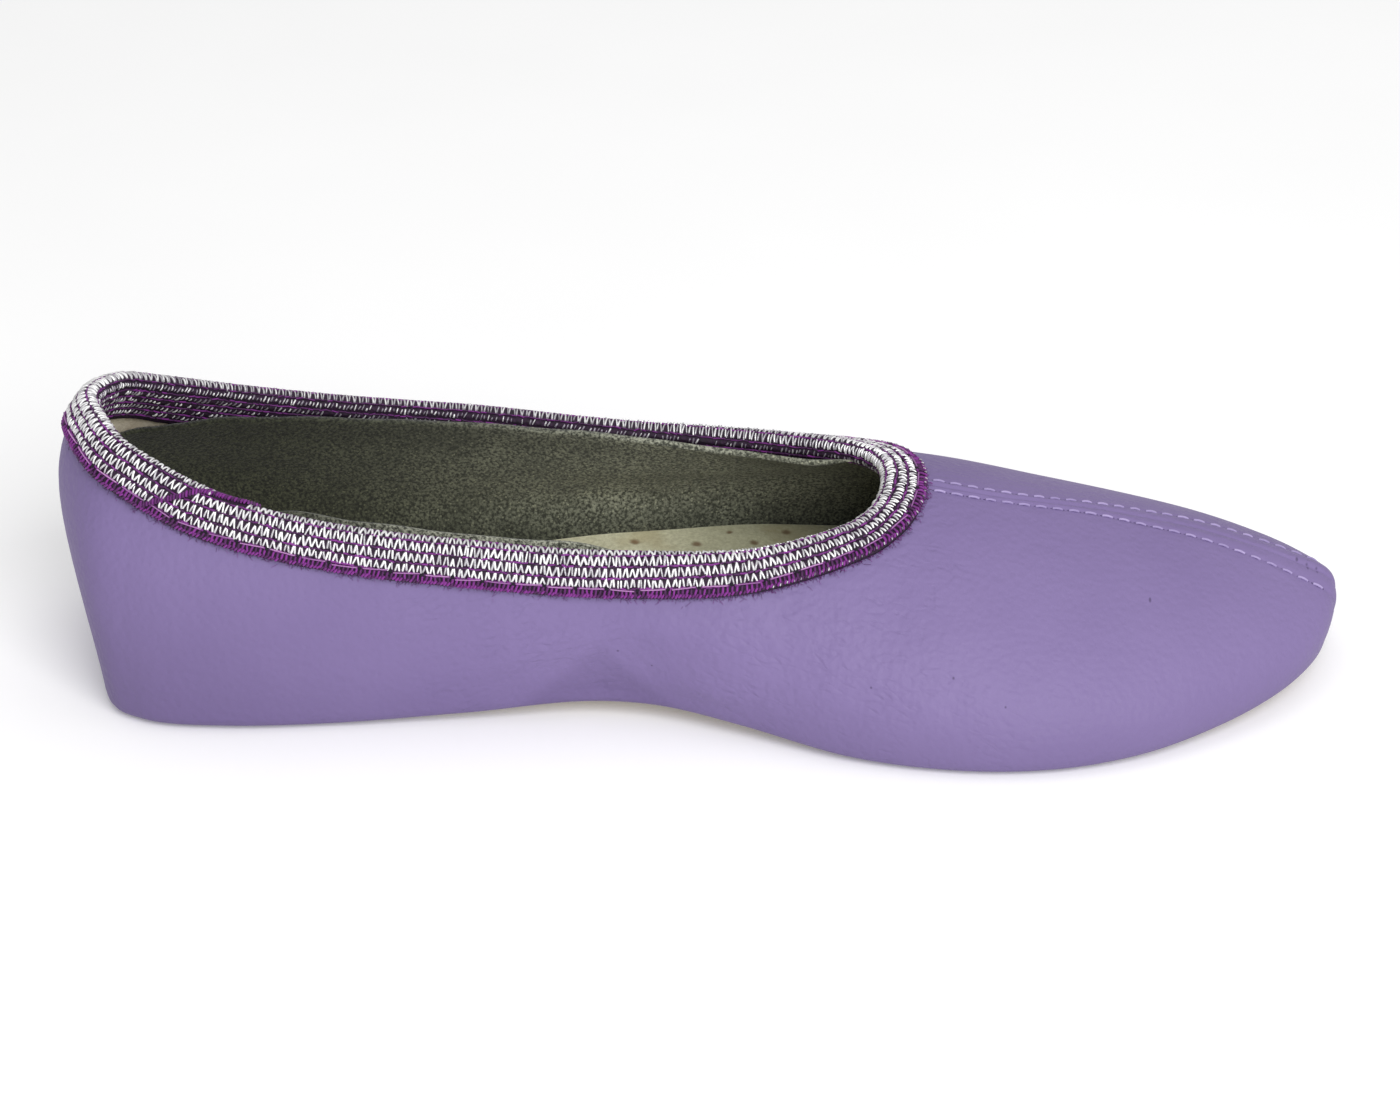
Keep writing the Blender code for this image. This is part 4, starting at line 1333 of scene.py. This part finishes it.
def purple_knit():
    # Polyester knit between the loops: deep purple, with painted shade that makes it almost black in the gaps
    material, tree, shader, place = new_material("purple_polyester_knit", "#3b1440", 0.75)
    loop = add(tree, CELLS, (), {"Vector": place, "Scale": per_mm(0.55)})
    # Painted shade: darker away from each loop's middle
    colour = add(tree, MIX, BLEND, {0: loop, 6: linear("#300d35"), 7: linear("#0d0411")}, 2)
    normal = add(tree, BUMP, (), {"Strength": 1.0, "Distance": 0.15 * MM, "Height": loop})
    feed(tree, shader, {"Base Color": colour, "Normal": normal})
    return material


def grey_felt():
    # Needle-punched felt: matt, grey-green, short matted fibres with paler and darker flecks, with painted
    # shade towards the heel, low down and under the band, and a painted highlight where it is cut
    material, tree, shader, place = new_material("grey_green_needled_felt", "#55574a", 0.95)
    split = add(tree, SPLIT, (), {0: place}).node
    mat = add(tree, NOISE, (), {"Vector": place, "Scale": per_mm(0.55), "Detail": 2.0, "Roughness": 0.6})
    cloud = add(tree, NOISE, (), {"Vector": place, "Scale": per_mm(9.0), "Detail": 2.0})
    fleck = add(tree, CELLS, (), {"Vector": place, "Scale": per_mm(0.9), "Randomness": 1.0})
    pit = add(tree, CELLS, (), {"Vector": place, "Scale": per_mm(1.3), "Randomness": 1.0})
    spread = add(tree, RANGE, SOFT, {0: mat, 1: 0.36, 2: 0.67})
    tone = add(tree, RANGE, (), {0: cloud, 1: 0.3, 2: 0.7, 3: 0.0, 4: 0.5})
    pale = add(tree, RANGE, SOFT, {0: fleck, 1: 0.08, 2: 0.30, 3: 0.9, 4: 0.0})
    sunk = add(tree, RANGE, SOFT, {0: pit, 1: 0.10, 2: 0.36, 3: 0.65, 4: 0.0})
    # Painted shade towards the heel and low down
    heel = add(tree, RANGE, SOFT, {0: split.outputs["X"], 1: -85 * MM, 2: 6 * MM, 3: 1.0, 4: 0.0})
    foot = add(tree, RANGE, SOFT, {0: split.outputs["Z"], 1: 4 * MM, 2: 16 * MM, 3: 1.0, 4: 0.0})
    dim, cut = (add(tree, MARK, {"attribute_name": name}, out="Fac") for name in ("under_band", "lit_top_edge"))
    fibre = add(tree, MIX, BLEND, {0: spread, 6: linear("#3d3f36"), 7: linear("#b4b6a4")}, 2)
    colour = add(tree, MIX, BLEND, {0: spread, 6: linear("#404238"), 7: linear("#a3a592")}, 2)
    # A tint keeps a share of the red, green and blue light, a blend lays a colour over
    layers = (
        (tone, BLEND, linear("#4d4f43")),
        (pale, BLEND, linear("#b2b39b")),
        (heel, TINT, (0.21, 0.22, 0.165, 1.0)),
        (dim, TINT, (0.70, 0.70, 0.68, 1.0)),
        (sunk, TINT, (0.35, 0.35, 0.32, 1.0)),
        (foot, TINT, (0.36, 0.38, 0.36, 1.0)),
        # Painted highlight along the cut edge
        (cut, BLEND, fibre),
    )
    for share, kind, over in layers:
        colour = add(tree, MIX, kind, {0: share, 6: colour, 7: over}, 2)
    normal = add(tree, BUMP, (), {"Strength": 1.0, "Distance": 0.35 * MM, "Height": mat})
    feed(tree, shader, {"Base Color": colour, "Normal": normal, "Sheen Weight": 0.15})
    return material


def napped(name, dark, light, mark, pressed=()):
    """Suede, board or cotton: matt nap of short fibres with a few worn marks, browner where it is pressed."""
    material, tree, shader, place = new_material(name, light, 0.92)
    nap = add(tree, NOISE, (), {"Vector": place, "Scale": per_mm(0.8), "Detail": 5.0, "Roughness": 0.7})
    cloud = add(tree, NOISE, (), {"Vector": place, "Scale": per_mm(11.0), "Detail": 3.0})
    spread = add(tree, RANGE, SOFT, {0: nap, 1: 0.3, 2: 0.7})
    colour = add(tree, MIX, BLEND, {0: spread, 6: linear(dark), 7: linear(light)}, 2)
    stain = add(tree, RANGE, SOFT, {0: cloud, 1: 0.52, 2: 0.74, 3: 0.0, 4: 0.5})
    layers = [(stain, BLEND, linear(mark))]
    if pressed:
        flat = add(tree, VECTOR, TIMES, {0: place, 1: (1, 1, 0)})
    for x, y, width, _ in pressed:
        spot = (np.array([x, y, 0]) + CENTRE_SHIFT) * MM
        away = add(tree, VECTOR, {"operation": "DISTANCE"}, {0: flat, 1: spot}, "Value")
        brown = add(tree, RANGE, SOFT, {0: away, 1: 0.3 * width * MM, 2: 1.3 * width * MM, 3: 0.85, 4: 0.0})
        layers.append((brown, BLEND, linear("#7d5a33")))
    if pressed:
        x = add(tree, SPLIT, (), {0: place}, out="X")
        worn = add(tree, RANGE, SOFT, {0: x, 1: -14 * MM, 2: 6 * MM})
        # Darker towards the toe; a tint keeps a share of the red, green and blue light
        layers.append((worn, TINT, (0.66, 0.67, 0.64, 1.0)))
    for share, kind, over in layers:
        colour = add(tree, MIX, kind, {0: share, 6: colour, 7: over}, 2)
    normal = add(tree, BUMP, (), {"Strength": 0.9, "Distance": 0.22 * MM, "Height": nap})
    feed(tree, shader, {"Base Color": colour, "Normal": normal, "Sheen Weight": 0.15})
    return material


def pale_floor():
    # Matt white paper sweep, with a faint painted glow that lightens the shadows on it
    material, tree, shader, place = new_material("white_paper_sweep", "#f4f4f4", 0.9)
    grain = add(tree, NOISE, (), {"Vector": place, "Scale": per_mm(60.0), "Detail": 2.0})
    colour = add(tree, MIX, BLEND, {0: grain, 6: linear("#f5f5f5"), 7: linear("#f9f9f9")}, 2)
    feed(tree, shader, {"Base Color": colour, "Specular IOR Level": 0.1,
                        "Emission Color": linear("#ffffff"), "Emission Strength": 0.13})
    return material


# Studio: white sweep, soft key from the front right, weak fill, and the camera
CAMERA_AIM = Vector((-0.0006, 0.00083, 0.020))
CAMERA_DISTANCE = 0.700
CAMERA_ELEVATION = 30.0
CAMERA_LENS = 100.26
FLOOR_HALF = 3.0
FLOOR_Z = -2e-5
WORLD_STRENGTH = 0.47

# Lamps: name, place in metres, width and power in watts
LAMPS = (("key", (0.32, -0.90, 0.85), 0.8, 12.0), ("top", (0.1, 0.25, 1.3), 1.0, 2.5))


def place_in_scene(item):
    bpy.context.scene.collection.objects.link(item)
    return item


def build_studio():
    """Floor, lamps, plain white world and the camera."""
    mesh = bpy.data.meshes.new("floor")
    corners = [(x * FLOOR_HALF, y * FLOOR_HALF, FLOOR_Z) for x, y in ((-1, -1), (1, -1), (1, 1), (-1, 1))]
    mesh.from_pydata(corners, [], [(0, 1, 2, 3)])
    mesh.materials.append(pale_floor())
    floor = place_in_scene(bpy.data.objects.new("floor", mesh))
    for name, place, size, power in LAMPS:
        light = bpy.data.lights.new(name, "AREA")
        light.shape = "SQUARE"
        light.size = size
        light.energy = power
        lamp = place_in_scene(bpy.data.objects.new(name, light))
        lamp.location = place
        lamp.rotation_euler = (Vector((0, 0, 0.02)) - Vector(place)).to_track_quat("-Z", "Y").to_euler()
    world = bpy.data.worlds.new("studio")
    world.use_nodes = True
    sky = world.node_tree.nodes["Background"]
    feed(world.node_tree, sky, {"Color": linear("#ffffff"), "Strength": WORLD_STRENGTH})
    scene = bpy.context.scene
    scene.world = world
    angle = np.radians(CAMERA_ELEVATION)
    back = Vector((0, -np.cos(angle), np.sin(angle)))
    camera = place_in_scene(bpy.data.objects.new("camera", bpy.data.cameras.new("camera")))
    camera.data.lens = CAMERA_LENS
    camera.data.sensor_width = 36.0
    camera.data.clip_start = 0.01
    camera.location = CAMERA_AIM + back * CAMERA_DISTANCE
    camera.rotation_euler = (-back).to_track_quat("-Z", "Y").to_euler()
    scene.camera = camera
    scene.view_settings.view_transform = "Standard"
    scene.view_settings.look = "None"


def main():
    # Metallised film yarn: bright, glittering, some turns darker
    silver = yarn_finish("silver_metallised_film_yarn", "#8d8692", "#ffffff", 0.32, metallic=0.40)
    # Textured polyester yarn, dyed purple, soft sheen
    purple = yarn_finish("purple_polyester_yarn", "#43104a", "#80288a", 0.65, sheen=0.05)
    # Twisted polyester sewing thread, soft sheen: plum on the knit, lilac on the leather
    plum_thread = yarn_finish("plum_sewing_thread", "#8a4f92", "#bd87bf", 0.5, sheen=0.1)
    lilac_thread = yarn_finish("lilac_sewing_thread", "#9686b6", "#ad9dca", 0.55, sheen=0.1)
    # Shadowed hole where the needle pierced the leather
    hole = yarn_finish("pierced_leather_hole", "#40335c", "#4d3f6b", 0.9)
    # Painted shade of the gap where the needle pierced the knit
    gap = yarn_finish("pierced_knit_hole", "#12061a", "#1f0b26", 0.9)
    # Pressed fibre board: pale and matt, with brown pressed marks
    board = napped("pale_fibre_board_insole", "#cfcba8", "#f0edcd", "#bdae7f", INSOLE_MARKS)
    # Split suede, brushed: beige, short nap
    suede = napped("beige_split_suede", "#8f7c63", "#b6a286", "#7c6a54")
    # Brushed cotton: pale, soft and matt
    cotton = napped("pale_cotton_heel_lining", "#c9bda4", "#e8dec8", "#bfae90")
    pieces = [
        (build_leather(lilac_leather()), "upper", "upper_leather"),
        (build_binding(purple_knit()), "collar_binding", "binding_elastic"),
        (build_outside_loops(silver), None, "binding_elastic"),
        (build_inside_loops(silver), None, "binding_elastic"),
        (build_purple_edge(purple), None, "binding_elastic"),
        (build_groove_lines(purple), None, "binding_elastic"),
        (build_edge_beads(silver), None, "binding_elastic"),
        (build_fuzz(purple), None, "binding_elastic"),
        (build_felt(grey_felt()), None, "insole_board"),
        (build_heel_lining(cotton), None, "insole_board"),
        (build_insole(board), "insole", "insole_board"),
        (build_outsole(suede), "outsole", "sole_suede"),
    ]
    pieces += [(item, None, "binding_elastic") for item in build_topstitch(plum_thread, gap)]
    pieces += [(item, None, "upper_leather") for item in build_vamp_stitches(lilac_thread, hole)]
    for item, node, finish in pieces:
        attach(item, "root")
        if node:
            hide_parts(node)
    build_studio()


main()
